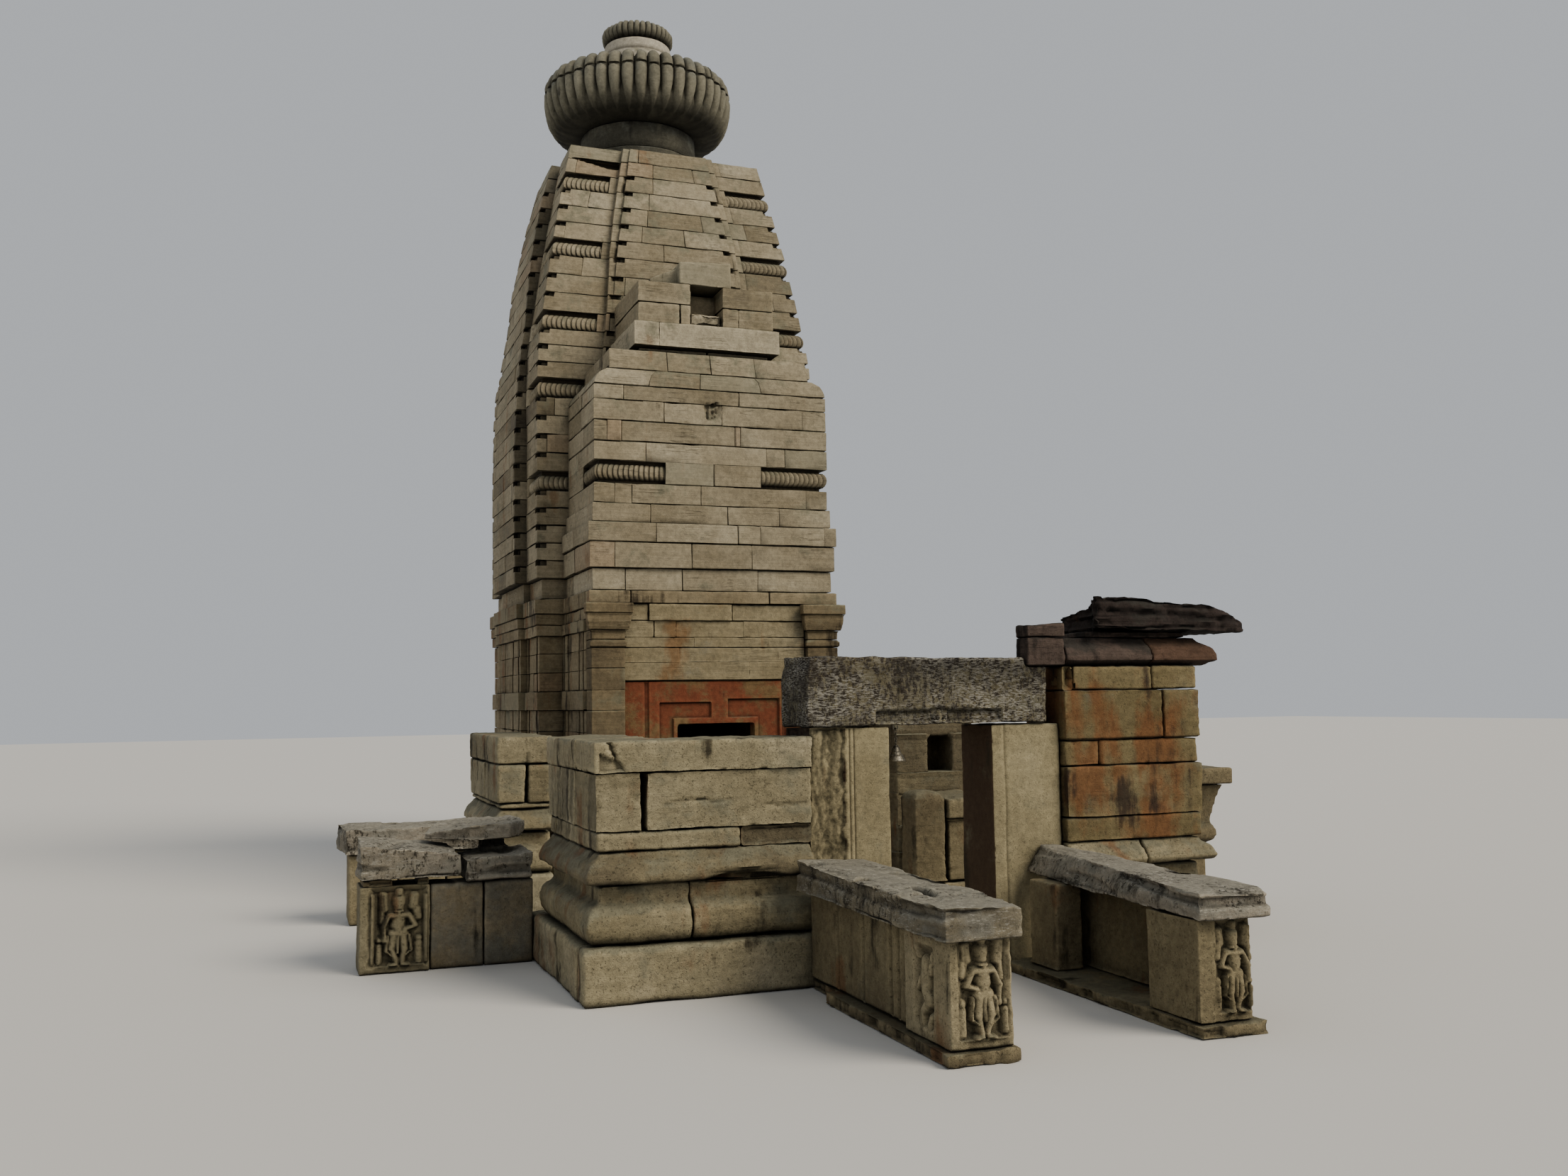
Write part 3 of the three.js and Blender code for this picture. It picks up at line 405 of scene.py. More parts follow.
def ring_faces(rings, around, joined=False):
    """Faces between rings of points. The end rings are closed or, where joined, led into each other."""
    faces = []
    for ring in range(rings if joined else rings - 1):
        low, high = ring * around, (ring + 1) % rings * around
        for n in range(around):
            m = (n + 1) % around
            faces.append([low + n, low + m, high + m, high + n])
    if not joined:
        faces.append(list(range(around))[::-1])
        faces.append([(rings - 1) * around + n for n in range(around)])
    return faces


def random_shift(rng):
    """A random place in the noise, so that no two stones are alike."""
    return Vector((rng.uniform(0, 90), rng.uniform(0, 90), rng.uniform(0, 90)))


class Masonry:
    """Corners, faces and finish values of the stones that make up one piece."""

    def __init__(self):
        self.points, self.faces, self.tone, self.wear, self.core = [], [], [], [], []

    def add(self, points, faces, tone, wear, core=0):
        start = len(self.points)
        self.points.extend(points)
        self.faces.extend([[start + i for i in face] for face in faces])
        self.tone.extend([tone] * len(points))
        self.wear.extend(wear)
        self.core.extend([core] * len(faces))

    def piece(self, name, nodes, material, body="temple", smooth=40):
        """The finished object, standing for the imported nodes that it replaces."""
        mesh = bpy.data.meshes.new(name)
        mesh.from_pydata([tuple(p) for p in self.points], [], self.faces)
        mesh.materials.append(material)
        mesh.materials.append(JOINT_STONE)
        mesh.polygons.foreach_set("material_index", self.core)
        for label, values in (("tone", self.tone), ("wear", self.wear)):
            layer = mesh.attributes.new(label, "FLOAT", "POINT")
            layer.data.foreach_set("value", values)
        shell = bmesh.new()
        shell.from_mesh(mesh)
        bmesh.ops.recalc_face_normals(shell, faces=shell.faces)
        shell.to_mesh(mesh)
        shell.free()
        made = bpy.data.objects.new(name, mesh)
        bpy.context.scene.collection.objects.link(made)
        if sum(len(face) - 2 for face in self.faces) > FEW_TRIANGLES:
            mesh = thinned(made)
        mesh.shade_smooth()
        mesh.set_sharp_from_angle(angle=math.radians(smooth))
        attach(made, body)
        if nodes:
            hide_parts(*nodes)


def inward(points, closed):
    """The inward direction at each corner of an outline, lengthened at the corners as a mitre."""
    before = points - np.roll(points, 1, axis=0)
    after = np.roll(points, -1, axis=0) - points
    if not closed:
        before[0] = after[0]
        after[-1] = before[-1]
    first = np.stack([-before[:, 1], before[:, 0]], axis=1)
    second = np.stack([-after[:, 1], after[:, 0]], axis=1)
    first /= np.linalg.norm(first, axis=1, keepdims=True)
    second /= np.linalg.norm(second, axis=1, keepdims=True)
    return (first + second) / (1 + (first * second).sum(axis=1, keepdims=True))


class Course:
    """One course of stones. plan is its outline, counter-clockwise, or gives it at any height."""

    def __init__(self, plan, z0, z1, closed=True):
        self.plan, self.z0, self.z1, self.closed = plan, z0, z1, closed
        self.known = {}
        low = self.level(z0)[0]
        self.count = len(low)
        self.spans = self.count if closed else self.count - 1
        self.lengths = np.linalg.norm(np.roll(low, -1, axis=0) - low, axis=1)[:self.spans]
        self.corners = np.concatenate([[0.0], np.cumsum(self.lengths)])
        self.total = self.corners[-1]

    def level(self, z):
        key = round(z, 5)
        if key not in self.known:
            outline = np.array(self.plan(z) if callable(self.plan) else self.plan, float)
            self.known[key] = (outline, inward(outline, self.closed))
        return self.known[key]

    def at(self, s, depth, z):
        """The point at a distance along the outline, a depth behind the face and a height."""
        s = s % self.total if self.closed else min(max(s, 0.0), self.total)
        i = min(int(np.searchsorted(self.corners, s, side="right")) - 1, self.spans - 1)
        f = (s - self.corners[i]) / self.lengths[i]
        j = (i + 1) % self.count
        outline, into = self.level(z)
        x = (outline[i][0] + depth * into[i][0]) * (1 - f) + (outline[j][0] + depth * into[j][0]) * f
        y = (outline[i][1] + depth * into[i][1]) * (1 - f) + (outline[j][1] + depth * into[j][1]) * f
        return Vector((x, y, z))


def joints_along(course, rng, shortest, longest, keep=0.09, narrow=0.30):
    """Places for the upright joints: never close to a corner, never on a narrow face."""
    places, s = [], rng.uniform(0.0, longest)
    while s < course.total - shortest * 0.7:
        i = int(np.searchsorted(course.corners, s, side="right")) - 1
        start, end = course.corners[i], course.corners[i + 1]
        place = max(s, start + keep)
        if end - start < narrow or place > end - keep:
            s = end + keep + 0.001
            continue
        places.append(place)
        s = place + rng.uniform(shortest, longest)
    return places


def within(s, total, spans):
    """The first of the spans (start, end, ...) that holds a distance, on a ring of that length."""
    for span in spans:
        if span[0] <= s % total <= span[1] or span[0] <= s % total - total <= span[1]:
            return span
    return None


def flat_profile(z0, z1, tooth_z, edge):
    """A plain stone's face as (depth, height), with rounded edges and room for a notch at its head."""
    third = (tooth_z - z0 - edge) / 3
    return [(edge, z0), (0.0, z0 + edge), (0.0, z0 + edge + third), (0.0, z0 + edge + 2 * third),
            (0.0, tooth_z - 0.001), (0.0, tooth_z + 0.001), (0.0, z1 - edge), (edge, z1)]


def stops_along(course, start, end, edge, pitch, spans):
    """Places along a stone for its points: its ends, its rounding, each corner and the sides of each
    notch or groove, and even steps between them."""
    first, last = start + edge, end - edge
    marks = []
    for turn in (-course.total, 0.0, course.total) if course.closed else (0.0,):
        marks.extend(corner + turn for corner in course.corners)
        for span in spans:
            marks.extend(place + turn + nudge for place in span[:2] for nudge in (-0.0015, 0.0015))
    marks = sorted(m for m in marks if first + 0.003 < m < last - 0.003)
    cuts = [first] + [m for k, m in enumerate(marks) if not k or m - marks[k - 1] > 1e-4] + [last]
    stops = [start, first]
    for a, b in zip(cuts, cuts[1:]):
        parts = max(1, round((b - a) / pitch))
        stops.extend(a + (b - a) * (k + 1) / parts for k in range(parts))
    return stops + [end]


# The notches at the courses' heads, and how finely the ribs of the cushion rolls are modelled
NOTCH_HEIGHT, NOTCH_DEPTH = 0.044, 0.045
STEPS_TO_A_RIB = 8


def lay_stone(masonry, course, s0, s1, rng, profile=None, edge=0.0045, joint=0.003, depth=0.11,
              uneven=0.004, step=0.11, ribs=None, teeth=(), grooves=(), sooty=(), damp=None, proud=0.0,
              broken=None):
    """One stone from s0 to s1 along a course. profile lists (depth, height) from foot to head. teeth
    are spans whose upper edge is cut back, grooves are spans (start, end, depth) cut to full height,
    sooty are spans (start, end) painted darker, as black stain and as painted shade, damp tells
    how much darker a stone is for the place it lies in, and broken gives the depth of any damage at a
    point. Grooves, notches and the gaps between ribs are painted darker as shade, and rims rubbed pale."""
    z0, z1 = course.z0 + joint / 2, course.z1 - joint / 2
    edge = edge * rng.uniform(0.7, 1.7)
    set_back = rng.uniform(-0.001, 0.004) - proud
    tooth_z = z1 - NOTCH_HEIGHT
    profile = profile or flat_profile(z0, z1, tooth_z, edge)
    low_z, high_z = profile[0][1], profile[-1][1]
    section = [(depth, low_z)] + [(d + set_back, z) for d, z in profile] + [(depth, high_z)]
    count = len(section)
    pitch = step if ribs is None else ribs[0] / STEPS_TO_A_RIB
    stops = stops_along(course, s0 + joint / 2, s1 - joint / 2, edge, pitch, list(teeth) + list(grooves))
    seed = random_shift(rng)
    points, wear = [], []
    for k, s in enumerate(stops):
        end = k in (0, len(stops) - 1)
        toothed = within(s, course.total, teeth)
        groove = within(s, course.total, grooves)
        soot = -1.0 if within(s, course.total, sooty) else 0.0
        between = 0.0
        # The gaps between ribs are painted darker as shade
        if ribs is not None:
            between = 1 - math.sqrt(max(0.0, 1 - (2 * ((s - s0) / ribs[0] % 1.0) - 1) ** 2))
            soot -= between
        for n, (d, z) in enumerate(section):
            if n in (0, count - 1):
                points.append(course.at(s, d, z))
                wear.append(-0.8 + soot)
                continue
            if end:
                d = d + edge
                z = min(max(z, low_z + edge * 0.5), high_z - edge * 0.5)
            rim, notched = end or n in (1, count - 2), toothed and z > tooth_z
            if groove:
                d = d + groove[2]
            if notched:
                d = set_back + NOTCH_DEPTH
            if ribs is not None:
                d = d + ribs[1] * between
            p = course.at(s, d, z)
            if broken:
                p = course.at(s, d + broken(p), z)
            if rim and ribs is None:
                chip = max(0.0, noise.noise(p * 4.3 + seed) - 0.22) * 0.085
                p = course.at(s, d + chip, z + (chip if n <= count // 2 else -chip) * 0.6)
            p += noise.noise_vector(p * 5.0 + seed) * uneven
            p += noise.noise_vector(p * 23.0 + seed) * uneven * 0.4
            points.append(p)
            # Grooves and notches are painted darker as shade, rims are rubbed pale, and the shaded spans are
            # darker still
            wear.append((-0.8 if groove or notched else (0.5 if rim else 0.0)) + soot)
    shade = rng.random() + (damp(course.at((s0 + s1) / 2, 0.0, z0)) if damp else 0.0)
    masonry.add(points, ring_faces(len(stops), count), shade, wear)


def lay_course(masonry, course, rng, places=None, shortest=0.42, longest=0.95, **stone):
    """A whole course of stones, parted at the given places or at random ones."""
    if places is None:
        places = joints_along(course, rng, shortest, longest)
    if course.closed:
        ends = places + [places[0] + course.total]
    else:
        ends = [0.0] + [p for p in places if 0.05 < p < course.total - 0.05] + [course.total]
    for a, b in zip(ends, ends[1:]):
        lay_stone(masonry, course, a, b, rng, **stone)


def fill_core(masonry, plan, heights, inset):
    """The dark heart behind the joints: the outline at each height, moved inward."""
    points = []
    for z in heights:
        outline = np.array(plan(z), float)
        points.extend(Vector((x, y, z)) for x, y in outline + inward(outline, True) * inset)
    masonry.add(points, ring_faces(len(heights), len(outline)), 0.5, [0.0] * len(points), core=1)


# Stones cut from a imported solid

def solid_of(node):
    """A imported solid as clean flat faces."""
    shell = bmesh.new()
    shell.from_mesh(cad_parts[node].data)
    bmesh.ops.remove_doubles(shell, verts=shell.verts, dist=1e-5)
    bmesh.ops.dissolve_limit(shell, angle_limit=math.radians(0.5), verts=shell.verts, edges=shell.edges)
    return shell


def shrunk_core(masonry, node, inset):
    """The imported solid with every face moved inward, as the heart behind a skin of stones."""
    shell = solid_of(node)
    shell.normal_update()
    moved = []
    for vert in shell.verts:
        normals = np.array([face.normal for face in vert.link_faces])
        moved.append(vert.co + Vector(np.linalg.lstsq(normals, -np.full(len(normals), inset), rcond=1e-3)[0]))
    shell.verts.index_update()
    faces = [[vert.index for vert in face.verts] for face in shell.faces]
    shell.free()
    masonry.add(moved, faces, 0.5, [0.0] * len(moved), core=1)


def parted(shell, axis, at, gap):
    """The two halves of a solid on either side of a plane, with an open joint between them."""
    normal = Vector([1.0 if i == axis else 0.0 for i in range(3)])
    halves = []
    for side, place in (("clear_outer", at - gap / 2), ("clear_inner", at + gap / 2)):
        half = shell.copy()
        bmesh.ops.bisect_plane(half, geom=half.verts[:] + half.edges[:] + half.faces[:],
                               plane_co=normal * place, plane_no=normal, **{side: True})
        open_edges = [e for e in half.edges if e.is_boundary]
        if open_edges:
            bmesh.ops.holes_fill(half, edges=open_edges, sides=0)
        if half.faces:
            halves.append(half)
        else:
            half.free()
    return halves


def cut_stones(stone, cuts):
    """Part a solid on the planes (axis, place, box that the stone's centre lies in, open gap)."""
    stones = [stone]
    for axis_name, at, *rest in cuts:
        axis = "xyz".index(axis_name)
        limits = rest[0] if rest else {}
        gap = rest[1] if len(rest) > 1 else 0.0
        kept = []
        for one in stones:
            spots = np.array([v.co for v in one.verts])
            low, high = spots.min(axis=0), spots.max(axis=0)
            middle = (low + high) / 2
            inside = all(a <= middle["xyz".index(k)] <= b for k, (a, b) in limits.items())
            if inside and low[axis] + 0.01 < at < high[axis] - 0.01:
                kept.extend(parted(one, axis, at, gap))
                one.free()
            else:
                kept.append(one)
        stones = kept
    return stones


def hewn(node, material, slot="sandstone", cuts=(), seed=1, **finish):
    """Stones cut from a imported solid, each with worn edges and an uneven face."""
    rng = random.Random(seed)
    masonry = Masonry()
    for stone in cut_stones(solid_of(node), cuts):
        wear_stone(masonry, stone, rng, **finish)
    masonry.piece("stones_" + node, [node], material, smooth=70)


def block(x0, x1, y0, y1, z0, z1):
    """A squared block as a shell of flat faces."""
    shell = bmesh.new()
    bmesh.ops.create_cube(shell, size=1.0)
    for vert in shell.verts:
        x, y, z = vert.co
        vert.co = Vector((x1 if x > 0 else x0, y1 if y > 0 else y0, z1 if z > 0 else z0))
    return shell


def even_skin(stone, grain, soft):
    """A stone's surface as evenly spaced points with its corners rounded: points, normals, edges and
    faces."""
    mesh = bpy.data.meshes.new("stone")
    stone.to_mesh(mesh)
    stone.free()
    lump = bpy.data.objects.new("stone", mesh)
    bpy.context.scene.collection.objects.link(lump)
    even = lump.modifiers.new("even", "REMESH")
    even.mode = "VOXEL"
    even.voxel_size = grain
    worn = lump.modifiers.new("worn", "SMOOTH")
    worn.factor = 0.5
    worn.iterations = soft
    ready = lump.evaluated_get(bpy.context.evaluated_depsgraph_get())
    shape = ready.to_mesh()
    spots, normals = (np.zeros(len(shape.vertices) * 3, np.float32) for _ in range(2))
    shape.vertices.foreach_get("co", spots)
    shape.vertices.foreach_get("normal", normals)
    edges = np.zeros(len(shape.edges) * 2, np.int32)
    shape.edges.foreach_get("vertices", edges)
    faces = [list(p.vertices) for p in shape.polygons]
    ready.to_mesh_clear()
    bpy.data.objects.remove(lump)
    bpy.data.meshes.remove(mesh)
    return spots.reshape(-1, 3), normals.reshape(-1, 3), edges.reshape(-1, 2), faces


def raised_share(carved, normals, edges, reach):
    """How far each point stands above its surroundings, -1 to 1."""
    degree = np.bincount(edges.ravel(), minlength=len(carved)).clip(1)[:, None]
    mean = carved.copy()
    for _ in range(3):
        total = np.zeros_like(mean)
        np.add.at(total, edges[:, 0], mean[edges[:, 1]])
        np.add.at(total, edges[:, 1], mean[edges[:, 0]])
        mean = total / degree
    return np.clip(((carved - mean) * normals).sum(axis=1) / reach, -1.0, 1.0)


def weathered(p, n, shift, rough, joint, bed):
    """How far out the weather has left a point: swells, soft beds worn back and small pits."""
    swell = noise.noise(p * 3.1 + shift) * 1.2 + noise.noise(p * 11.0 + shift) * 0.55
    swell += noise.noise(p * 37.0 + shift) * 0.25
    away = swell * rough - joint - rough * 0.3
    if bed:
        layer = noise.noise(Vector((p.x * 1.6, p.y * 1.6, p.z * 30.0)) + shift)
        away += bed * (min(layer, 0.15) - 0.15) * 1.6 * (1 - abs(n.z))
        away -= bed * max(0.0, noise.noise(p * 16.0 - shift) - 0.30) * 3.0
    return away


def wear_stone(masonry, stone, rng, grain=0.018, rough=0.005, soft=2, joint=0.002, carve=None,
               tone=(0.0, 1.0), soot=None, bed=0.0):
    """Even out one stone's surface points, round its edges, roughen it and add it. carve gives the
    height of carving at each surface point, bed the depth to which soft beds have weathered back, tone
    the stone's lowest shade and its spread, or a function from the stone's middle and a random number
    to its shade, and soot how much darker each point is made, by dirt and by painted shade.
    Raised points are rubbed paler, and sunk points are painted darker as shade."""
    spots, normals, edges, faces = even_skin(stone, grain, soft)
    if not len(spots):
        return
    relief = np.zeros(len(spots)) if carve is None else carve(spots, normals)
    carved = spots + normals * relief[:, None]
    # Painted shade in hollows and rubbed paleness on raised points, from how far each point stands out
    wear = raised_share(carved, normals, edges, grain * 0.35) * 0.8
    if soot is not None:
        wear = wear - soot(spots, normals)
    shift = random_shift(rng)
    points = []
    for spot, normal in zip(carved, normals):
        p, n = Vector(spot), Vector(normal)
        points.append(p + n * weathered(p, n, shift, rough, joint, bed))
    shade = rng.random()
    shade = tone(spots.mean(axis=0), shade) if callable(tone) else tone[0] + tone[1] * shade
    masonry.add(points, faces, shade, list(wear))


def risen(values, start, width):
    """0 up to a start, rising evenly to 1 over a width."""
    return np.clip((values - start) / width, 0.0, 1.0)


def noise_at(spots, scale, shift=(0.0, 0.0, 0.0)):
    """Smooth noise, -1 to 1, at each point, with so many features to the metre along x, y and z."""
    return np.array([noise.noise(Vector(place)) for place in spots * scale + shift])


def fractal_at(spots, scale, shift=(0.0, 0.0, 0.0), falloff=0.8, finer=2.1, layers=3):
    """Broken noise at each point: layers of noise, each finer than the last."""
    places = spots * scale + shift
    return np.array([noise.fractal(Vector(place), falloff, finer, layers) for place in places])


# The shrine's walls

# Half the shrine's width, how far the middle of each side stands out and its share of the side
WALL_HALF, BAND_OUT, BAND_SHARE = 1.330, 0.060, 0.52
ANTARALA_HALF, ANTARALA_BACK = 1.110, -2.300
WALL_LEVELS = [0.73, 0.94, 1.14, 1.34, 1.53, 1.70, 1.87, 2.04, 2.20, 2.2997]
BELT, HEAD_BAND = (1.53, 1.70), (2.20, 2.2997)
# Mouldings as (depth behind the wall's face, height)
PLINTH_BAND = [(-0.112, 0.3023), (-0.120, 0.3100), (-0.135, 0.360), (-0.128, 0.410), (-0.120, 0.460),
               (-0.080, 0.490), (-0.040, 0.498)]
TORUS_BAND = [(-0.040, 0.502), (-0.040, 0.560), (-0.085, 0.575), (-0.110, 0.600), (-0.118, 0.630),
              (-0.110, 0.660), (-0.070, 0.695), (-0.030, 0.720), (0.0, 0.728)]


# Grooves that frame the walls' sunk panels: from a face's corners and, on a wide face, its middle
CORNER_GROOVE, MIDDLE_GROOVE, GROOVE_DEPTH = (0.085, 0.135), (0.21, 0.26), 0.045
NARROWEST_PANEL, NARROWEST_PAIR = 0.35, 1.0


def panel_grooves(course):
    """The upright grooves of one course, as (start, end, depth)."""
    near, far = CORNER_GROOVE
    inner, outer = MIDDLE_GROOVE
    spans = []
    for a, b in zip(course.corners, course.corners[1:]):
        middle = (a + b) / 2
        if b - a > NARROWEST_PANEL:
            spans += [(a + near, a + far), (b - far, b - near)]
        if b - a > NARROWEST_PAIR:
            spans += [(middle - outer, middle - inner), (middle + inner, middle + outer)]
    return [(start, end, GROOVE_DEPTH) for start, end in spans]


def shrine_wall(node, outline, seed):
    """One wall of the shrine: moulded foot, panelled courses, belt and head band."""
    rng = random.Random(seed)
    masonry = Masonry()
    for band, z0, z1 in ((PLINTH_BAND, 0.3003, 0.50), (TORUS_BAND, 0.50, 0.73)):
        course = Course(outline, z0, z1, closed=False)
        lay_course(masonry, course, rng, shortest=0.5, longest=1.1, profile=band, edge=0.006, depth=0.2)
    for z0, z1 in zip(WALL_LEVELS, WALL_LEVELS[1:]):
        course = Course(outline, z0, z1, closed=False)
        banded = (z0, z1) in (BELT, HEAD_BAND)
        lay_course(masonry, course, rng, shortest=0.6, longest=1.3, edge=0.003, joint=0.0022,
                   grooves=() if banded else panel_grooves(course), proud=0.026 if banded else 0.0)
    shrunk_core(masonry, node, 0.052)
    masonry.piece("stones_" + node, [node], WALL_STONE)


def build_shrine_walls():
    """The walls of the shrine and of the passage before it, and the plinth they stand on."""
    half, out, band = WALL_HALF, WALL_HALF + BAND_OUT, WALL_HALF * BAND_SHARE
    left = [(-0.70, half), (-half, half), (-half, band), (-out, band), (-out, -band), (-half, -band),
            (-half, -half), (-ANTARALA_HALF, -half)]
    right = [(-x, y) for x, y in left][::-1]
    back = [(band, half - 0.06), (band, out), (-band, out), (-band, half - 0.06)]
    shrine_wall("sanctum_wall_left", left, 11)
    shrine_wall("sanctum_wall_right", right, 12)
    shrine_wall("sanctum_wall_back", back, 13)
    shrine_wall("antarala_wall_left", [(-ANTARALA_HALF, -half + 0.05), (-ANTARALA_HALF, ANTARALA_BACK)], 14)
    shrine_wall("antarala_wall_right", [(ANTARALA_HALF, ANTARALA_BACK), (ANTARALA_HALF, -half + 0.05)], 15)
    hewn("shrine_plinth", WALL_STONE, grain=0.032, rough=0.006, joint=0.003, cuts=[
        ("x", -0.52, {}), ("x", 0.47, {}), ("y", -1.9, {}), ("y", -0.85, {"x": (-2, -0.5)}),
        ("y", -1.05, {"x": (0.4, 2)}), ("y", 0.3, {"x": (-2, -0.5)}), ("y", 0.42, {"x": (0.4, 2)}),
        ("y", 0.9, {"x": (-0.5, 0.5)}), ("y", -0.6, {"x": (-0.5, 0.5)})])


def throat_outline(half, throat, front):
    """Plan of a course that covers the shrine and its throat."""
    out, band = half + BAND_OUT, half * BAND_SHARE
    right = [(throat, front), (throat, -half), (half, -half), (half, -band), (out, -band), (out, band),
             (half, band), (half, half), (band, half), (band, out)]
    return right + [(-x, y) for x, y in right][::-1]


def build_cornices():
    """The cornice, its upper course standing proud with stones over the porch, and the course above."""
    rng = random.Random(21)
    masonry = Masonry()
    plan = throat_outline(1.365, 1.11, -2.30)
    for z0, z1, proud in ((2.30, 2.40, 0.0), (2.40, 2.54, 0.012)):
        lay_course(masonry, Course(plan, z0, z1), rng, shortest=0.5, longest=1.1, proud=proud)
    shrunk_core(masonry, "wall_cornice", 0.045)
    for x0, x1 in ((-1.12, -0.76), (-0.76, 0.48), (0.48, 1.12)):
        wear_stone(masonry, block(x0, x1, -2.48, -2.28, 2.43, 2.54), rng, grain=0.014, rough=0.004)
    masonry.piece("stones_wall_cornice", ["wall_cornice"], WALL_STONE)

    masonry = Masonry()
    plan = throat_outline(1.30, 1.08, -2.44)
    lay_course(masonry, Course(plan, 2.5403, 2.7297), rng, shortest=0.5, longest=1.1)
    shrunk_core(masonry, "recessed_course", 0.045)
    masonry.piece("stones_recessed_course", ["recessed_course"], SANDSTONE)


# Stones over the shrine door: rows of (foot, head, face, upright joints)
OVERDOOR_ROWS = [
    (1.7703, 1.93, -2.450, [0.30]), (1.93, 2.055, -2.450, [-0.33]), (2.055, 2.14, -2.450, [-0.20]),
    (2.14, 2.281, -2.450, [-0.555, -0.36, 0.25]),
    (2.281, 2.4297, -2.475, [-0.602, 0.142])]
PILASTER_JOINTS = (0.6, 0.95, 1.25, 1.53, 1.70, 1.88, 2.05, 2.12, 2.2, 2.34)


def build_shrine_front():
    """The stones over the door, the pilasters and the painted door stones. The head row over the door
    stands proud between the pilasters' heads."""
    rng = random.Random(31)
    half, flush, back = 0.8199, -2.450, -2.31
    masonry = Masonry()
    for foot, head, face, joints in OVERDOOR_ROWS:
        ends = [-half] + joints + [half]
        for x0, x1 in zip(ends, ends[1:]):
            front = max(face, flush) if x0 < -0.7 or x1 > 0.75 else face
            wear_stone(masonry, block(x0, x1, front, back, foot, head), rng,
                       grain=0.010, rough=0.003, joint=0.0002, soft=1, bed=0.003, tone=(0.45, 0.35))
    masonry.piece("stones_overdoor_wall", ["overdoor_wall"], OVERDOOR_STONE)
    for side, seed in (("left", 32), ("right", 34)):
        hewn("pilaster_" + side, WALL_STONE, grain=0.0085, rough=0.002, soft=1, joint=0.001, seed=seed,
             bed=0.001, tone=(-0.5, 0.5), cuts=[("z", z, {}) for z in PILASTER_JOINTS])
    masonry = Masonry()
    wear_stone(masonry, solid_of("sanctum_door_surround"), rng, grain=0.012, rough=0.003, soft=1,
               carve=door_panels)
    masonry.piece("stones_sanctum_door_surround", ["sanctum_door_surround"], OCHRE_STONE)


def door_panels(spots, normals):
    """The stepped panels sunk into the door stones, either side of the frame, and a line beyond them."""
    x, z = spots[:, 0], spots[:, 2]
    left = (x > -0.51) & (x < -0.045) & (z < 1.585)
    right = (x > 0.105) & (x < 0.575) & (z < 1.605)
    frame_band = (np.abs(x) < 0.385) & (z < 1.45)
    line = (np.abs(x) > 0.60) & (np.abs(x) < 0.64)
    sunk = np.where((left | right) & ~frame_band, -0.020, 0.0)
    sunk = np.where(line, -0.012, sunk)
    return np.where(normals[:, 1] < -0.7, sunk, 0.0)


# The spire

# The spire's plan by height: height, piers' face, piers' inner edge, central band's half width and face
SPIRE_CURVE = [
    (2.730, 1.355, 0.813, 0.705, 1.447), (4.000, 1.355, 0.813, 0.705, 1.456),
    (4.500, 1.355, 0.780, 0.700, 1.430), (4.930, 1.335, 0.735, 0.675, 1.392),
    (5.220, 1.292, 0.700, 0.650, 1.348), (5.890, 1.185, 0.640, 0.575, 1.280),
    (6.320, 1.099, 0.575, 0.500, 1.199), (6.590, 1.045, 0.525, 0.455, 1.143),
    (7.000, 0.955, 0.450, 0.385, 1.035)]
STOREY_TOPS = [3.715, 4.585, 5.240, 5.985, 6.690]
ROLL_HEIGHT, COURSE_HEIGHT = 0.177, 0.165
SPIRE_FOOT, SPIRE_HEAD, TOP_COURSES = 2.73, 7.0, 6.8
# The channels beside the central band lie behind the piers' face, those of the front before it
CHANNEL_DEPTH, FRONT_CHANNEL = 0.070, -0.060
# The upright ribs of the cushion rolls
RIB_PITCH, RIB_DEPTH = 0.046, 0.028


def spire_outline(z):
    """The spire's plan at a height: corner piers, channels and the central band of each side."""
    heights = [row[0] for row in SPIRE_CURVE]
    face, pier, half, out = (np.interp(z, heights, [row[k] for row in SPIRE_CURVE]) for k in (1, 2, 3, 4))
    outline = []
    for quarter, (c, s) in enumerate(((1, 0), (0, 1), (-1, 0), (0, -1))):
        channel = face - (CHANNEL_DEPTH if quarter else FRONT_CHANNEL)
        side = [(-face, -face), (-pier, -face), (-pier, -channel), (-half, -channel), (-half, -out),
                (half, -out), (half, -channel), (pier, -channel), (pier, -face)]
        outline.extend((c * x - s * y, s * x + c * y) for x, y in side)
    return outline


def spire_levels():
    """Course joints of the spire, with one at the head and foot of every cushion roll."""
    fixed = sorted([SPIRE_FOOT, SPIRE_HEAD] + STOREY_TOPS + [top - ROLL_HEIGHT for top in STOREY_TOPS])
    levels = []
    for a, b in zip(fixed, fixed[1:]):
        parts = max(1, round((b - a) / COURSE_HEIGHT))
        levels.extend(a + (b - a) * k / parts for k in range(parts))
    return levels + [SPIRE_HEAD]


def cushion_roll(top):
    """Half-round section of a cushion roll, with the dark slot over it."""
    middle, reach = top - 0.103, 0.070
    roll = [(0.062, top - ROLL_HEIGHT + 0.003)]
    for k in range(9):
        a = math.pi * (k / 8 - 0.5)
        roll.append((0.049 - 0.047 * math.cos(a), middle + reach * math.sin(a)))
    return roll + [(0.085, middle + reach), (0.085, top - 0.003)]


def spire_teeth(course):
    """Where the courses are notched: round the piers' outer corners and up the central band's edges."""
    spans = []
    for quarter in range(4):
        c = course.corners
        corner, left, right = c[quarter * 9], c[quarter * 9 + 4], c[quarter * 9 + 5]
        spans += [(corner - 0.085, corner + 0.085), (left - 0.05, left + 0.080)]
        spans.append((right - 0.080, right + 0.05))
    return spans


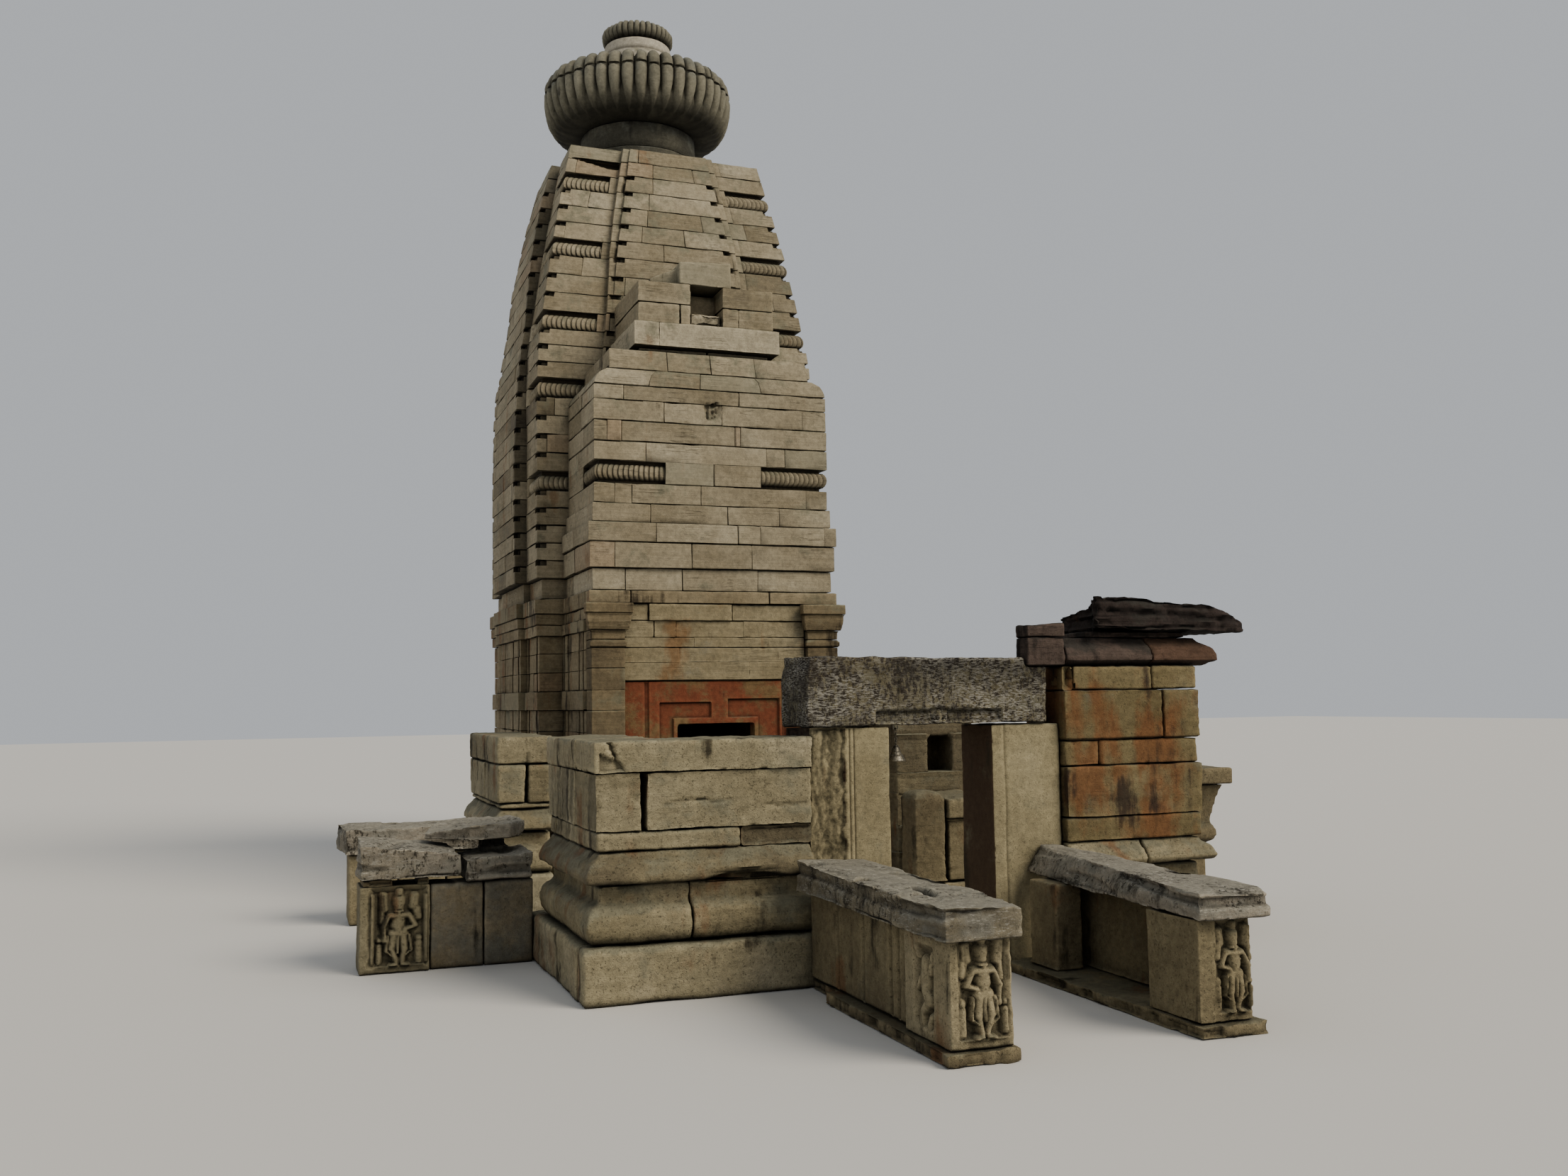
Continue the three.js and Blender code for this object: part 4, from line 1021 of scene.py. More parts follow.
def shaded_channels(course):
    """The channels of the sides and back, between the piers and the central band, painted darker as black
    stain and as painted shade.
    """
    c = course.corners
    return [(c[first + a], c[first + b]) for first in (9, 18, 27) for a, b in ((1, 4), (5, 8))]


def lower_left_damp(p):
    """The spire's left side is darkest towards the front, low down, where it stays in shade."""
    return -0.5 if p.x < -1.2 and p.y < 0.3 and p.z < 4.9 else 0.0


def slipped_gap(p):
    """The wedge that opened where a stone at the head of the front left pier has slipped."""
    left, right, joint_z, drop, run = -0.93, -0.50, 6.846, 0.062, 0.36
    if p.y > -0.7 or not left < p.x < right:
        return 0.0
    drop *= min(1.0, (p.x - left) / run)
    return 0.075 if joint_z - drop < p.z < joint_z + 0.007 else 0.0


def fine_rows(low, high, count, edge):
    """A stone's face as (depth, height) with many rows, for damage that is cut into it."""
    rows = [low + 0.005 + (high - low - 0.01) * k / count for k in range(count + 1)]
    return [(edge, low)] + [(0.0, z) for z in rows] + [(edge, high)]


# The tiers that the spire is packed in, with their foot and head
SPIRE_TIERS = [("spire_base", 2.73, 3.715), ("spire_lower", 3.715, 5.24), ("spire_middle", 5.24, 5.985),
               ("spire_upper", 5.985, 7.0)]


def build_spire():
    """The spire's four tiers, course by course round a dark core, paved at the head."""
    levels = spire_levels()
    for number, (node, bottom, top) in enumerate(SPIRE_TIERS):
        rng = random.Random(40 + number)
        masonry = Masonry()
        own = [z for z in levels if bottom - 1e-6 <= z <= top + 1e-6]
        for z0, z1 in zip(own, own[1:]):
            course = Course(spire_outline, z0, z1)
            if any(abs(z1 - head) < 1e-6 for head in STOREY_TOPS):
                lay_roll_course(masonry, course, rng)
            elif z1 > TOP_COURSES:
                lay_course(masonry, course, rng, shortest=0.34, longest=1.05, step=0.03,
                           profile=fine_rows(z0 + 0.0015, z1 - 0.0015, 12, 0.005),
                           sooty=shaded_channels(course), broken=slipped_gap)
            else:
                lay_course(masonry, course, rng, shortest=0.34, longest=1.05, teeth=spire_teeth(course),
                           sooty=shaded_channels(course), damp=lower_left_damp)
        fill_core(masonry, spire_outline, own, 0.055)
        if top == SPIRE_HEAD:
            pave_spire_top(masonry, rng)
        masonry.piece("stones_" + node, [node], SANDSTONE)


def pave_spire_top(masonry, rng):
    """The slabs round the neck that close the spire."""
    edge, levels = 0.87, (6.93, 7.002)
    for x0, x1 in ((-edge, -0.32), (-0.32, 0.28), (0.28, edge)):
        for y0, y1 in ((-edge, 0.0), (0.0, edge)):
            wear_stone(masonry, block(x0, x1, y0, y1, *levels), rng, grain=0.024, rough=0.004, soft=1,
                       tone=(0.3, 0.5))


def lay_roll_course(masonry, course, rng):
    """A course with a ribbed cushion roll round each corner pier and plain stones on the bands."""
    corners = course.corners
    teeth = spire_teeth(course)
    for first in (0, 9, 18, 27):
        before = corners[first - 1] if first else corners[35] - course.total
        after = corners[first + 1]
        lay_stone(masonry, course, before + 0.08, after - 0.08, rng, profile=cushion_roll(course.z1),
                  ribs=(RIB_PITCH, RIB_DEPTH), uneven=0.0015, edge=0.002)
        lay_stone(masonry, course, before - 0.10, before + 0.078, rng)
        lay_stone(masonry, course, after - 0.078, after + 0.10, rng)
        middle = (corners[first + 4] + corners[first + 5]) / 2 + rng.uniform(-0.2, 0.2)
        lay_stone(masonry, course, corners[first + 3] - 0.004, middle, rng, teeth=teeth)
        lay_stone(masonry, course, middle, corners[first + 6] + 0.004, rng, teeth=teeth)


# The front gable and its niche

# Courses of the gable: foot, head and the places of its upright joints
GABLE_BASE_ROWS = [
    (2.73, 2.95, [-0.90, -0.22, 0.33]), (2.95, 3.12, [-0.54, 0.20, 0.41, 1.02]),
    (3.12, 3.286, [-0.58, 0.12, 0.60]), (3.286, 3.46, [-0.89, -0.74, -0.12, 0.86]),
    (3.65, 3.82, [-0.61, 0.49, 0.67]), (3.82, 4.00, [-0.95, -0.83, 0.20, 0.25]),
    (4.00, 4.18, [-0.45, 0.08, 0.84]), (4.18, 4.31, [-0.81, 0.24]), (4.31, 4.46, [-0.58, -0.12, 0.45]),
    (4.46, 4.65, [-0.40, 0.0, 0.42])]
# The gable's shape by height: height, half width and face
GABLE_ROWS = [
    (2.730, 1.110, -2.470), (2.949, 1.110, -2.470), (2.951, 1.127, -2.480), (3.119, 1.127, -2.480),
    (3.121, 1.085, -2.445), (3.285, 1.083, -2.445), (3.287, 1.065, -2.430), (4.300, 1.065, -2.430),
    (4.360, 1.052, -2.428), (4.410, 1.018, -2.424), (4.445, 0.965, -2.418), (4.461, 0.915, -2.385),
    (4.650, 0.905, -2.330)]


def gable_outline(z, back=-1.34):
    """The gable's plan at a height, open at the back where it meets the spire."""
    heights = [row[0] for row in GABLE_ROWS]
    half, face = (np.interp(z, heights, [row[k] for row in GABLE_ROWS]) for k in (1, 2))
    return [(-half, back), (-half, face), (half, face), (half, back)]


# The course with the cushion rolls, and the feet of the two courses that are knocked
GABLE_ROLL, KNOCKED_FEET = (3.46, 3.66), (4.00, 4.18)


def gable_hollow(p):
    """Depth of the piece knocked out of the gable's face."""
    ragged = 0.60 * noise.noise(p * 19.0)
    away = math.hypot((p.x + 0.005) / 0.085, (p.z - 4.125) / 0.085) + ragged
    rubble = 0.7 + 0.9 * noise.noise(p * 47.0)
    return 0.042 * rubble * max(0.0, min(1.0, (1.05 - away) * 3.0)) if p.y < -2.3 else 0.0


def build_gable():
    """The gable's courses, the piece knocked out of it and the pair of cushion rolls, round a dark core."""
    rng = random.Random(7)
    masonry = Masonry()
    for z0, z1, joints in GABLE_BASE_ROWS:
        course = Course(gable_outline, z0 + 0.0011, z1 - 0.0011, closed=False)
        side, half = course.lengths[0], course.lengths[1] / 2
        places = [side * rng.uniform(0.35, 0.65)] + [side + half + x for x in joints]
        places.append(side + 2 * half + side * rng.uniform(0.35, 0.65))
        finish = {"step": 0.10}
        if z0 in KNOCKED_FEET:
            finish = {"step": 0.018, "broken": gable_hollow,
                      "profile": fine_rows(course.z0 + 0.0015, course.z1 - 0.0015, 9, 0.005)}
        lay_course(masonry, course, rng, places=sorted(places), **finish)
    course = Course(gable_outline, *GABLE_ROLL, closed=False)
    side, roll = course.lengths[0], cushion_roll(GABLE_ROLL[1])
    # A roll wraps each front corner, and plain stones fill the course beside and between them
    for a, b in ((side - 0.45, side + 0.62), (side + 1.51, side + 2.58)):
        lay_stone(masonry, course, a, b, rng, profile=roll, ribs=(RIB_PITCH, RIB_DEPTH), uneven=0.0015,
                  edge=0.002)
    for a, b in ((0.0, side - 0.452), (side + 0.622, side + 1.065), (side + 1.065, side + 1.508),
                 (side + 2.582, course.total)):
        lay_stone(masonry, course, a, b, rng)
    core_levels = [2.735, 3.0, 3.12, 3.3, 4.2, 4.35, 4.42, 4.63]
    fill_core(masonry, functools.partial(gable_outline, back=-1.25), core_levels, 0.055)
    masonry.piece("stones_front_gable", ["front_gable"], SANDSTONE)
    build_niche(rng)


# Rows of the niche's box: foot, head, face and the stones' left and right ends
NICHE_ROWS = [
    (4.6503, 4.71, -2.19, [(-0.60, 0.02), (0.02, 0.60)]),
    (4.71, 4.93, -2.31, [(-0.675, -0.45), (-0.45, 0.675)]),
    (4.93, 5.11, -2.27, [(-0.63, -0.245), (-0.245, -0.15), (0.15, 0.30), (0.30, 0.63)]),
    (5.11, 5.30, -2.27, [(-0.63, -0.15), (0.15, 0.63)])]
NICHE_FLOOR, NICHE_HALF, NICHE_BACK, BOX_BACK = 4.93, 0.15, -2.0, -1.36


def build_niche(rng):
    """The box on the gable: its rows of stones, the rubble sill and dark back of the hole, and its cap."""
    masonry = Masonry()
    for foot, head, face, stones in NICHE_ROWS:
        for x0, x1 in stones:
            corner = abs(x0) > 0.6 or abs(x1) > 0.6
            back = BOX_BACK if corner else face + 0.34
            wear_stone(masonry, block(x0, x1, face, back, foot, head), rng, grain=0.015, rough=0.004,
                       joint=0.001, soft=1, bed=0.004, tone=box_shade)
    sill = block(-NICHE_HALF, NICHE_HALF, -2.245, NICHE_BACK, NICHE_FLOOR, 5.055)
    wear_stone(masonry, sill, rng, grain=0.009, rough=0.030, soft=1, tone=(0.8, 0.0))
    wear_stone(masonry, block(-0.4, 0.4, NICHE_BACK, BOX_BACK, 4.75, 5.29), rng, grain=0.03, rough=0.004)
    masonry.piece("stones_niche_box", ["niche_box"], SANDSTONE)
    hewn("niche_cap", SANDSTONE, grain=0.011, rough=0.007, soft=2, seed=8, bed=0.002, joint=0.0,
         tone=(0.93, 0.0))


def box_shade(middle, shade):
    """The ledge under the niche is washed pale, and the box above it is greyer."""
    return 1.4 if middle[2] < NICHE_FLOOR else -0.3 + 0.6 * shade


# The crown

# The crown's axis, which leans a little left of the spire's, and outlines as (radius, height)
CROWN_X = -0.040
AMALAKA_PROFILE = [
    (0.600, 7.500), (0.700, 7.508), (0.800, 7.530), (0.837, 7.548), (0.872, 7.572), (0.905, 7.610),
    (0.926, 7.640), (0.945, 7.675), (0.962, 7.730), (0.972, 7.775), (0.978, 7.820), (0.982, 7.870),
    (0.981, 7.915), (0.975, 7.938), (0.950, 7.946), (0.948, 7.954), (0.974, 7.962), (0.976, 7.990),
    (0.968, 8.025), (0.955, 8.055), (0.935, 8.083), (0.905, 8.105), (0.872, 8.118), (0.842, 8.118),
    (0.815, 8.108), (0.790, 8.100), (0.740, 8.098), (0.600, 8.100)]
CUSHION_PROFILE = [
    (0.235, 8.520), (0.290, 8.526), (0.330, 8.540), (0.355, 8.562), (0.370, 8.590), (0.376, 8.618),
    (0.375, 8.645), (0.366, 8.670), (0.350, 8.690), (0.318, 8.704), (0.270, 8.713), (0.225, 8.715)]
BELL_NECK_PROFILE = [
    (0.300, 8.111), (0.425, 8.111), (0.436, 8.118), (0.437, 8.150), (0.428, 8.168), (0.405, 8.185),
    (0.394, 8.205), (0.388, 8.240), (0.376, 8.300), (0.366, 8.350), (0.358, 8.385), (0.352, 8.392),
    (0.352, 8.398), (0.360, 8.405), (0.356, 8.440), (0.352, 8.480), (0.347, 8.510), (0.300, 8.519)]
NECK_PROFILE = [
    (0.400, 7.001), (0.630, 7.001), (0.640, 7.010), (0.640, 7.066), (0.632, 7.078), (0.612, 7.090),
    (0.602, 7.104), (0.600, 7.220), (0.600, 7.232), (0.592, 7.238), (0.600, 7.244), (0.601, 7.360),
    (0.599, 7.488), (0.580, 7.499), (0.400, 7.499)]


def rib_width(r, z, lift, foot, head, taper):
    """The share of its full width that a rib has at a point, as it narrows to its foot and its head."""
    width = 1.0
    if taper[0]:
        width = min(width, max(0.02, (z + lift - foot) / taper[0]) ** 0.7)
    if taper[1] and r < 0.9 and z > (foot + head) / 2:
        width = min(width, max(0.05, (r - 0.76) / taper[1]) ** 0.5)
    return width


# How deep the crown's cracks go, and how far its joint wanders up and down
CRACK_DEPTH, JOINT_WANDER = 0.045, 0.020


def turned_stone(masonry, rng, profile, ribs=0, depth=0.0, around=96, cracks=(), taper=(0.0, 0.0),
                 joint=None, shade=0.5):
    """A stone turned about the crown's axis, with rounded ribs cut into it that taper to a point over
    the given heights at its foot and head, cracks, as (angle, half width, foot, head), and a joint that
    wanders."""
    rough = 0.004
    foot, head = profile[0][1], profile[-1][1]
    shift = random_shift(rng)
    own = [rng.uniform(-0.005, 0.005) for _ in range(max(ribs, 1))]
    lifts = [rng.uniform(-0.012, 0.012) for _ in range(max(ribs, 1))]
    points, wear = [], []
    for level, (r, z) in enumerate(profile):
        before, after = profile[max(level - 1, 0)], profile[min(level + 1, len(profile) - 1)]
        out = Vector((after[1] - before[1], before[0] - after[0])).normalized()
        for k in range(around):
            a = 2 * math.pi * k / around
            radius, height, lobe = r, z, 1.0
            if ribs:
                turn = a * ribs / (2 * math.pi)
                rib, across = int(turn) % ribs, abs(2 * (turn % 1.0) - 1)
                width = rib_width(r, z, lifts[rib], foot, head, taper)
                lobe = math.sqrt(max(0.0, 1 - (across / width) ** 2)) if across < width else 0.0
                cut = depth * (1 - lobe) * min(1.0, width * 1.2) - own[rib] * lobe
                radius -= cut * out.x
                height -= cut * max(out.y, 0.0)
                for angle, half, low, high in cracks:
                    if abs(a - angle) < half and low < z < high:
                        radius -= CRACK_DEPTH
                if joint and joint[0] < z < joint[1]:
                    wander = noise.noise(Vector((math.cos(a) * 3, math.sin(a) * 3, 0.0)))
                    height += JOINT_WANDER * wander + lifts[rib] * 0.8
            p = Vector((CROWN_X + radius * math.cos(a), radius * math.sin(a), height))
            p += noise.noise_vector(p * 6.0 + shift) * rough
            p += noise.noise_vector(p * 26.0 + shift) * rough * 0.4
            points.append(p)
            # The gaps between ribs are painted darker as shade, and the ribs are rubbed pale
            wear.append(0.5 - 1.5 * (1 - lobe) if ribs else 0.0)
    masonry.add(points, ring_faces(len(profile), around), shade, wear)


def build_crown():
    """The neck, the ribbed crown stone with its joint and cracks, the bell-shaped stone and the cushion."""
    rng = random.Random(50)
    cracks = [(4.45, 0.012, 7.97, 8.12), (4.72, 0.010, 7.98, 8.1), (5.35, 0.016, 7.96, 8.12)]
    parts = [
        ("spire_neck", CROWN_STONE, {"profile": NECK_PROFILE, "shade": -0.6}),
        ("amalaka", CROWN_STONE, {
            "profile": AMALAKA_PROFILE, "ribs": 44, "depth": 0.068, "around": 528, "cracks": cracks,
            "taper": (0.30, 0.06), "joint": (7.93, 7.97), "shade": 0.5}),
        ("crown_bell", PALE_STONE, {"profile": BELL_NECK_PROFILE, "shade": 1.5}),
        ("crown_cushion", CROWN_STONE, {
            "profile": CUSHION_PROFILE, "ribs": 36, "depth": 0.030, "around": 432, "taper": (0.04, 0.0),
            "shade": 0.4})]
    for node, material, turning in parts:
        masonry = Masonry()
        turned_stone(masonry, rng, **turning)
        masonry.piece("stones_" + node, [node], material, smooth=60)


# The hall

# Joints as (axis, place, the part of the stones that they run through)
BASE_CUTS = [("z", 0.302, {}), ("z", 0.614, {})]


def build_hall():
    """The moulded bases, walls and copings of the ruined hall, and what stands inside its right side."""
    west = {"x": (-2.1, -1.45)}
    hewn("front_left_base", HALL_STONE, grain=0.0165, rough=0.009, seed=61,
         joint=0.0004, bed=0.003, carve=broken_drip, tone=base_shade, cuts=BASE_CUTS + [
             ("x", -1.42, {"z": (0.3, 0.61)}), ("y", -5.5, {"z": (0.3, 0.6), **west}),
             ("y", -6.32, {"z": (0.0, 0.3)}), ("y", -5.6, {"z": (0.61, 0.8)})])
    hewn("front_left_wall", HALL_STONE, grain=0.0125, rough=0.008, seed=62,
         joint=0.0004, bed=0.004, soft=1, carve=split_beds, tone=damp_inner_stone, soot=corner_run_off, cuts=[
             ("z", 0.899, {}), ("x", -1.683, {"z": (0.9, 1.3)}, 0.026),
             ("x", -1.125, {"z": (0.7, 0.9)}, 0.004),
             ("y", -5.87, west), ("y", -5.26, {"z": (0.7, 0.9), **west})])
    hewn("front_left_coping", HALL_STONE, grain=0.0135, rough=0.010, seed=63,
         joint=0.0, soft=1, bed=0.003, carve=chipped_coping, tone=(0.55, 0.0), cuts=[("y", -5.96, {})])
    east = {"x": (1.4, 2.2)}
    hewn("front_right_base", HALL_STONE, grain=0.018, rough=0.008, seed=64,
         joint=0.001, bed=0.005, cuts=[
             ("z", 0.2695, {}), ("z", 0.549, {}),
             ("x", 1.50, {"z": (0.27, 0.8)}), ("y", -5.7, {"x": (1.2, 2.2)})])
    hewn("front_right_wall", RUST_STONE, grain=0.0145, rough=0.006, seed=65,
         joint=0.0003, soft=1, bed=0.004, carve=missing_corner, tone=(0.35, 0.3), cuts=[
             ("z", 0.854, {}), ("z", 1.164, {}), ("z", 1.321, {}), ("z", 1.629, {}),
             ("x", 1.218, {"z": (1.17, 1.32)}), ("x", 1.69, {"z": (1.33, 1.62)}),
             ("x", 1.04, {"z": (1.63, 1.8)}), ("x", 1.614, {"z": (1.63, 1.8)}),
             ("y", -5.75, {"z": (0.86, 1.16), **east}), ("y", -5.6, {"z": (1.33, 1.62), **east}),
             ("y", -5.9, {"z": (1.63, 1.8), **east})])
    hewn("front_right_cornice", DARK_STONE, "dark_weathered_stone",
         grain=0.012, rough=0.006, soft=1, seed=66, joint=0.001, bed=0.004,
         tone=(0.8, 0.4), cuts=[
             ("z", 1.957, {}), ("x", 0.987, {"z": (1.7, 1.95)}), ("x", 1.62, {"z": (1.7, 1.95)}),
             ("y", -5.8, {})])
    hewn("front_right_top_slab", DARK_STONE, "dark_weathered_stone",
         grain=0.016, rough=0.020, soft=2, seed=67, bed=0.012, carve=flaked_edges,
         tone=(-0.4, 0.3))
    hewn("rear_left_base", HALL_STONE, grain=0.021, rough=0.007, seed=68,
         bed=0.004, cuts=BASE_CUTS + [("y", -2.4, {"x": (-2.1, -1.5)})])
    hewn("rear_left_wall", HALL_STONE, grain=0.017, rough=0.008, seed=69,
         joint=0.001, bed=0.003, tone=(-0.5, 1.0), cuts=[
             ("z", 0.831, {}), ("z", 1.131, {}), ("x", -1.739, {"z": (0.84, 1.13)}, 0.012),
             ("y", -2.48, {"z": (1.14, 1.4)}), ("y", -2.35, {"z": (0.84, 1.13)})])
    # The rear right wall, seen through the doorway, has a darker tone as painted shade
    hewn("rear_right_wall", HALL_STONE, grain=0.020, rough=0.007, seed=70,
         bed=0.004, tone=(-0.9, 0.6), carve=raised_head, cuts=[
             ("z", 0.28, {}), ("z", 0.51, {}), ("z", 0.773, {}), ("z", 0.941, {}), ("z", 1.263, {}),
             ("y", -2.4, {}), ("x", 1.66, {"z": (0.28, 0.5)}), ("x", 1.86, {"z": (0.52, 0.77)})])
    hewn("right_inner_pillar", BENCH_STONE, grain=0.016, rough=0.008, seed=71,
         bed=0.005, cuts=[("z", 0.115, {})])
    hewn("right_inner_bench", BENCH_STONE, grain=0.016, rough=0.008, seed=72,
         bed=0.005, cuts=[("z", 0.615, {})])


def raised_head(spots, normals):
    """The rear wall's uneven top bed."""
    return np.where((normals[:, 2] > 0.7) & (spots[:, 2] > spots[:, 2].max() - 0.02), 0.034, 0.0)


def missing_corner(spots, normals):
    """The dark hollow where the right wall's top course has lost its inner stone."""
    x, z = spots[:, 0], spots[:, 2]
    gone = (x < 1.035 + 0.25 * (1.70 - z)) & (z > 1.632) & (normals[:, 1] < -0.3)
    return np.where(gone, -0.13, 0.0)


def corner_run_off(spots, normals):
    """Rain off the coping's corner darkens the stones under it in upright streaks."""
    streaks = fractal_at(spots, (13.0, 9.0, 0.9), finer=2.0)
    return 0.9 * risen(streaks, -0.05, 0.4) * risen(-spots[:, 0], 1.62, 0.08)


def base_shade(middle, shade):
    """The moulded base is palest at its foot, and greyest on the drip slab."""
    if middle[2] < 0.30:
        return 0.70 + 0.10 * shade
    return 0.3 * shade if middle[2] < 0.61 else -0.45


def damp_inner_stone(middle, shade):
    """The low stone beside the doorway stays damp, so it is the darkest of its wall."""
    return -0.9 if middle[0] > -1.1 and middle[2] < 0.9 else shade


def above_split(spots, level, drift, seed):
    """How far points lie above a split that wanders along a bed."""
    wander = fractal_at(spots, (4.1, 0.0, 0.0), (0.0, seed, 0.0), falloff=0.6, finer=2.0)
    return spots[:, 2] - level - drift * wander


# Splits in the left wall's big stone: height, drift, left end, right end and place in the noise
BED_SPLITS = [(1.050, 0.026, -1.62, -1.12, 3.0), (1.020, 0.020, -1.05, -0.70, 5.0)]
SPLIT_WIDTH, SPLIT_DEPTH = 0.011, 0.016


def split_beds(spots, normals):
    """Splits along the bed of the big stone, and the damp stone below it set back."""
    x, z, front = spots[:, 0], spots[:, 2], normals[:, 1] < -0.5
    relief = np.zeros(len(x))
    for level, drift, start, end, seed in BED_SPLITS:
        near = risen(-np.abs(above_split(spots, level, drift, seed)), -SPLIT_WIDTH, SPLIT_WIDTH)
        fade = risen(np.minimum(x - start, end - x), 0.0, 0.12)
        relief -= np.where(front, near * fade * SPLIT_DEPTH, 0.0)
    return np.where(front & (x > -1.12) & (z < 0.9), -0.022, relief)


def chipped_coping(spots, normals):
    """The coping's crack and lost lower corner at the left of its front."""
    x, z = spots[:, 0], spots[:, 2]
    front = normals[:, 1] < -0.4
    crack = np.abs(x + 1.845 + (z - 1.30) * 0.35) < 0.010
    lost = (x < -1.80) & (z < 1.285 + 0.5 * (-1.86 - x)) & (x > -1.93)
    relief = np.where(front & lost, -0.022, 0.0)
    return np.where(front & crack, -0.026, relief)


def broken_drip(spots, normals):
    """A long flake missing from the lower edge of the drip slab."""
    x, y, z = spots[:, 0], spots[:, 1], spots[:, 2]
    near = (y < -6.40) & (normals[:, 1] < 0.3)
    depth = np.interp(x, [-1.36, -1.22, -1.09, -0.95, -0.86], [0.0, 0.034, 0.040, 0.020, 0.0])
    return np.where(near & (z > 0.61) & (z < 0.67), -depth, 0.0)


def flaked_edges(spots, normals):
    """Bedding flakes split from a slab's edges: thin ledges stepping in and out with height."""
    rim = np.abs(normals[:, 2]) < 0.75
    beds = noise_at(spots, (1.7, 1.7, 34.0))
    return np.where(rim, np.round(beds * 3.5) / 3.5 * 0.032 - 0.010, 0.0)


def blunt_edges(spots, normals):
    """A slab's edge broken back in blunt lumps, with a ledge where it split along the bed."""
    rim = risen(-np.abs(normals[:, 2]), -0.90, 0.3)
    lumps = fractal_at(spots, (3.6, 3.6, 6.0), falloff=1.0)
    ledges = noise_at(spots, (1.6, 1.6, 15.0))
    return rim * (lumps * 0.018 - risen(ledges, 0.10, 0.14) * 0.014 - 0.005)


def flaked_top(spots, normals):
    """A worn seat: flakes lifted from its top in shallow hollows, and blunt broken edges."""
    hollow = noise_at(spots, (5.0, 2.2, 0.0), (3.0, 0.0, 7.0))
    sunk = -risen(hollow, 0.06, 0.04) * 0.007 - risen(hollow, 0.26, 0.04) * 0.010
    return np.where(normals[:, 2] > 0.7, sunk, blunt_edges(spots, normals))


def build_doorway():
    """The doorway's jambs and its lintel."""
    hewn("doorway_jamb_left", JAMB_STONE, grain=0.0095, rough=0.004, seed=81,
         soft=2, joint=0.001, carve=rough_left_jamb, soot=torn_dirt, tone=(0.4, 0.0))
    hewn("doorway_jamb_right", JAMB_STONE, grain=0.014, rough=0.006, seed=82,
         soft=2, joint=0.001, bed=0.001, carve=jamb_lines, tone=(0.6, 0.0))
    hewn("doorway_lintel", LINTEL_STONE, "grey_weathered_stone", grain=0.012,
         rough=0.012, soft=4, seed=83, joint=0.0, bed=0.002, carve=lintel_band, soot=lintel_mould)


# Where the left jamb's broken half begins
TORN_EDGE = 0.465


def rough_left_jamb(spots, normals):
    """The jamb's broken outer half, left as it split, beside two sunk lines on its dressed half."""
    x, front = spots[:, 0], normals[:, 1] < -0.6
    torn = fractal_at(spots, (8.0, 5.0, 4.5), layers=5)
    bites = np.array([noise.voronoi(Vector(place))[0][0] for place in spots * (9.0, 5.0, 6.0)])
    ragged = fractal_at(spots, (0.0, 0.0, 9.0), (9.0, 4.0, 0.0), falloff=0.7, finer=2.2, layers=4)
    split = risen(0.022 * ragged - x, TORN_EDGE, 0.014)
    relief = np.where(front | (normals[:, 0] < -0.6), split * (torn * 0.026 - bites * 0.010 - 0.014), 0.0)
    lines = (np.abs(x + 0.415) < 0.007) | (np.abs(x + 0.445) < 0.006)
    return np.where(front & lines & (split < 0.5), -0.008, relief)


def torn_dirt(spots, normals):
    """Dirt lodged in the jamb's torn half."""
    return np.where((spots[:, 0] < -TORN_EDGE) & (normals[:, 1] < -0.2), 0.75, 0.0)


def jamb_lines(spots, normals):
    """A line sunk down the right jamb's front."""
    line = np.abs(spots[:, 0] - 0.586) < 0.008
    return np.where((normals[:, 1] < -0.6) & line, -0.008, 0.0)


# The small figure on the lintel, from its foot: limbs as (u0, v0, u1, v1, radius)
SEATED_FIGURE = [
    (0.0, 0.074, 0.0, 0.078, 0.013), (-0.018, 0.050, 0.018, 0.050, 0.011),
    (0.0, 0.052, 0.0, 0.030, 0.016), (-0.034, 0.014, 0.034, 0.014, 0.012),
    (-0.028, 0.046, -0.036, 0.026, 0.007), (0.028, 0.046, 0.036, 0.026, 0.007)]


def lintel_band(spots, normals):
    """The sunk band along the lintel's foot with a small seated figure at its middle, and a crack."""
    x, z, front = spots[:, 0], spots[:, 2], normals[:, 1] < -0.6
    band = (x > -0.272) & (x < 0.552) & (z < 1.522)
    post = (x > 0.075) & (x < 0.190)
    figure = soft_blobs(x - 0.132, z - 1.44, SEATED_FIGURE)
    sunk = np.where(band & ~post, -0.026, 0.0)
    sunk = np.where(post & (z < 1.535), -0.016 + 0.024 * figure, sunk)
    crack = (np.abs(x + 0.142) < 0.007) & (z > 1.50)
    lost_corner = risen(z + (x + 0.60) * 0.5, 1.80, 0.05) * (x < -0.60) * 0.03
    return np.where(front, np.where(crack, -0.005, sunk), -lost_corner)


def lintel_mould(spots, normals):
    """Mould is blackest along the lintel's head and towards its right."""
    high = risen(spots[:, 2], 1.60, 0.16) * np.maximum(risen(spots[:, 0], -0.40, 0.50), 0.15)
    return np.where(normals[:, 2] < 0.7, 0.25 + 0.95 * high, 0.0)


def soft_blobs(u, v, limbs):
    """Rounded relief, 0 to 1, of limbs given as (u0, v0, u1, v1, radius)."""
    height = np.zeros_like(u)
    for u0, v0, u1, v1, radius in limbs:
        du, dv = u1 - u0, v1 - v0
        length = du * du + dv * dv
        t = np.clip(((u - u0) * du + (v - v0) * dv) / max(length, 1e-9), 0.0, 1.0)
        away = np.hypot(u - u0 - t * du, v - v0 - t * dv) / radius
        height = np.maximum(height, np.sqrt(np.clip(1 - away ** 2, 0.0, 1.0)))
    return height


# Benches and their carved end blocks

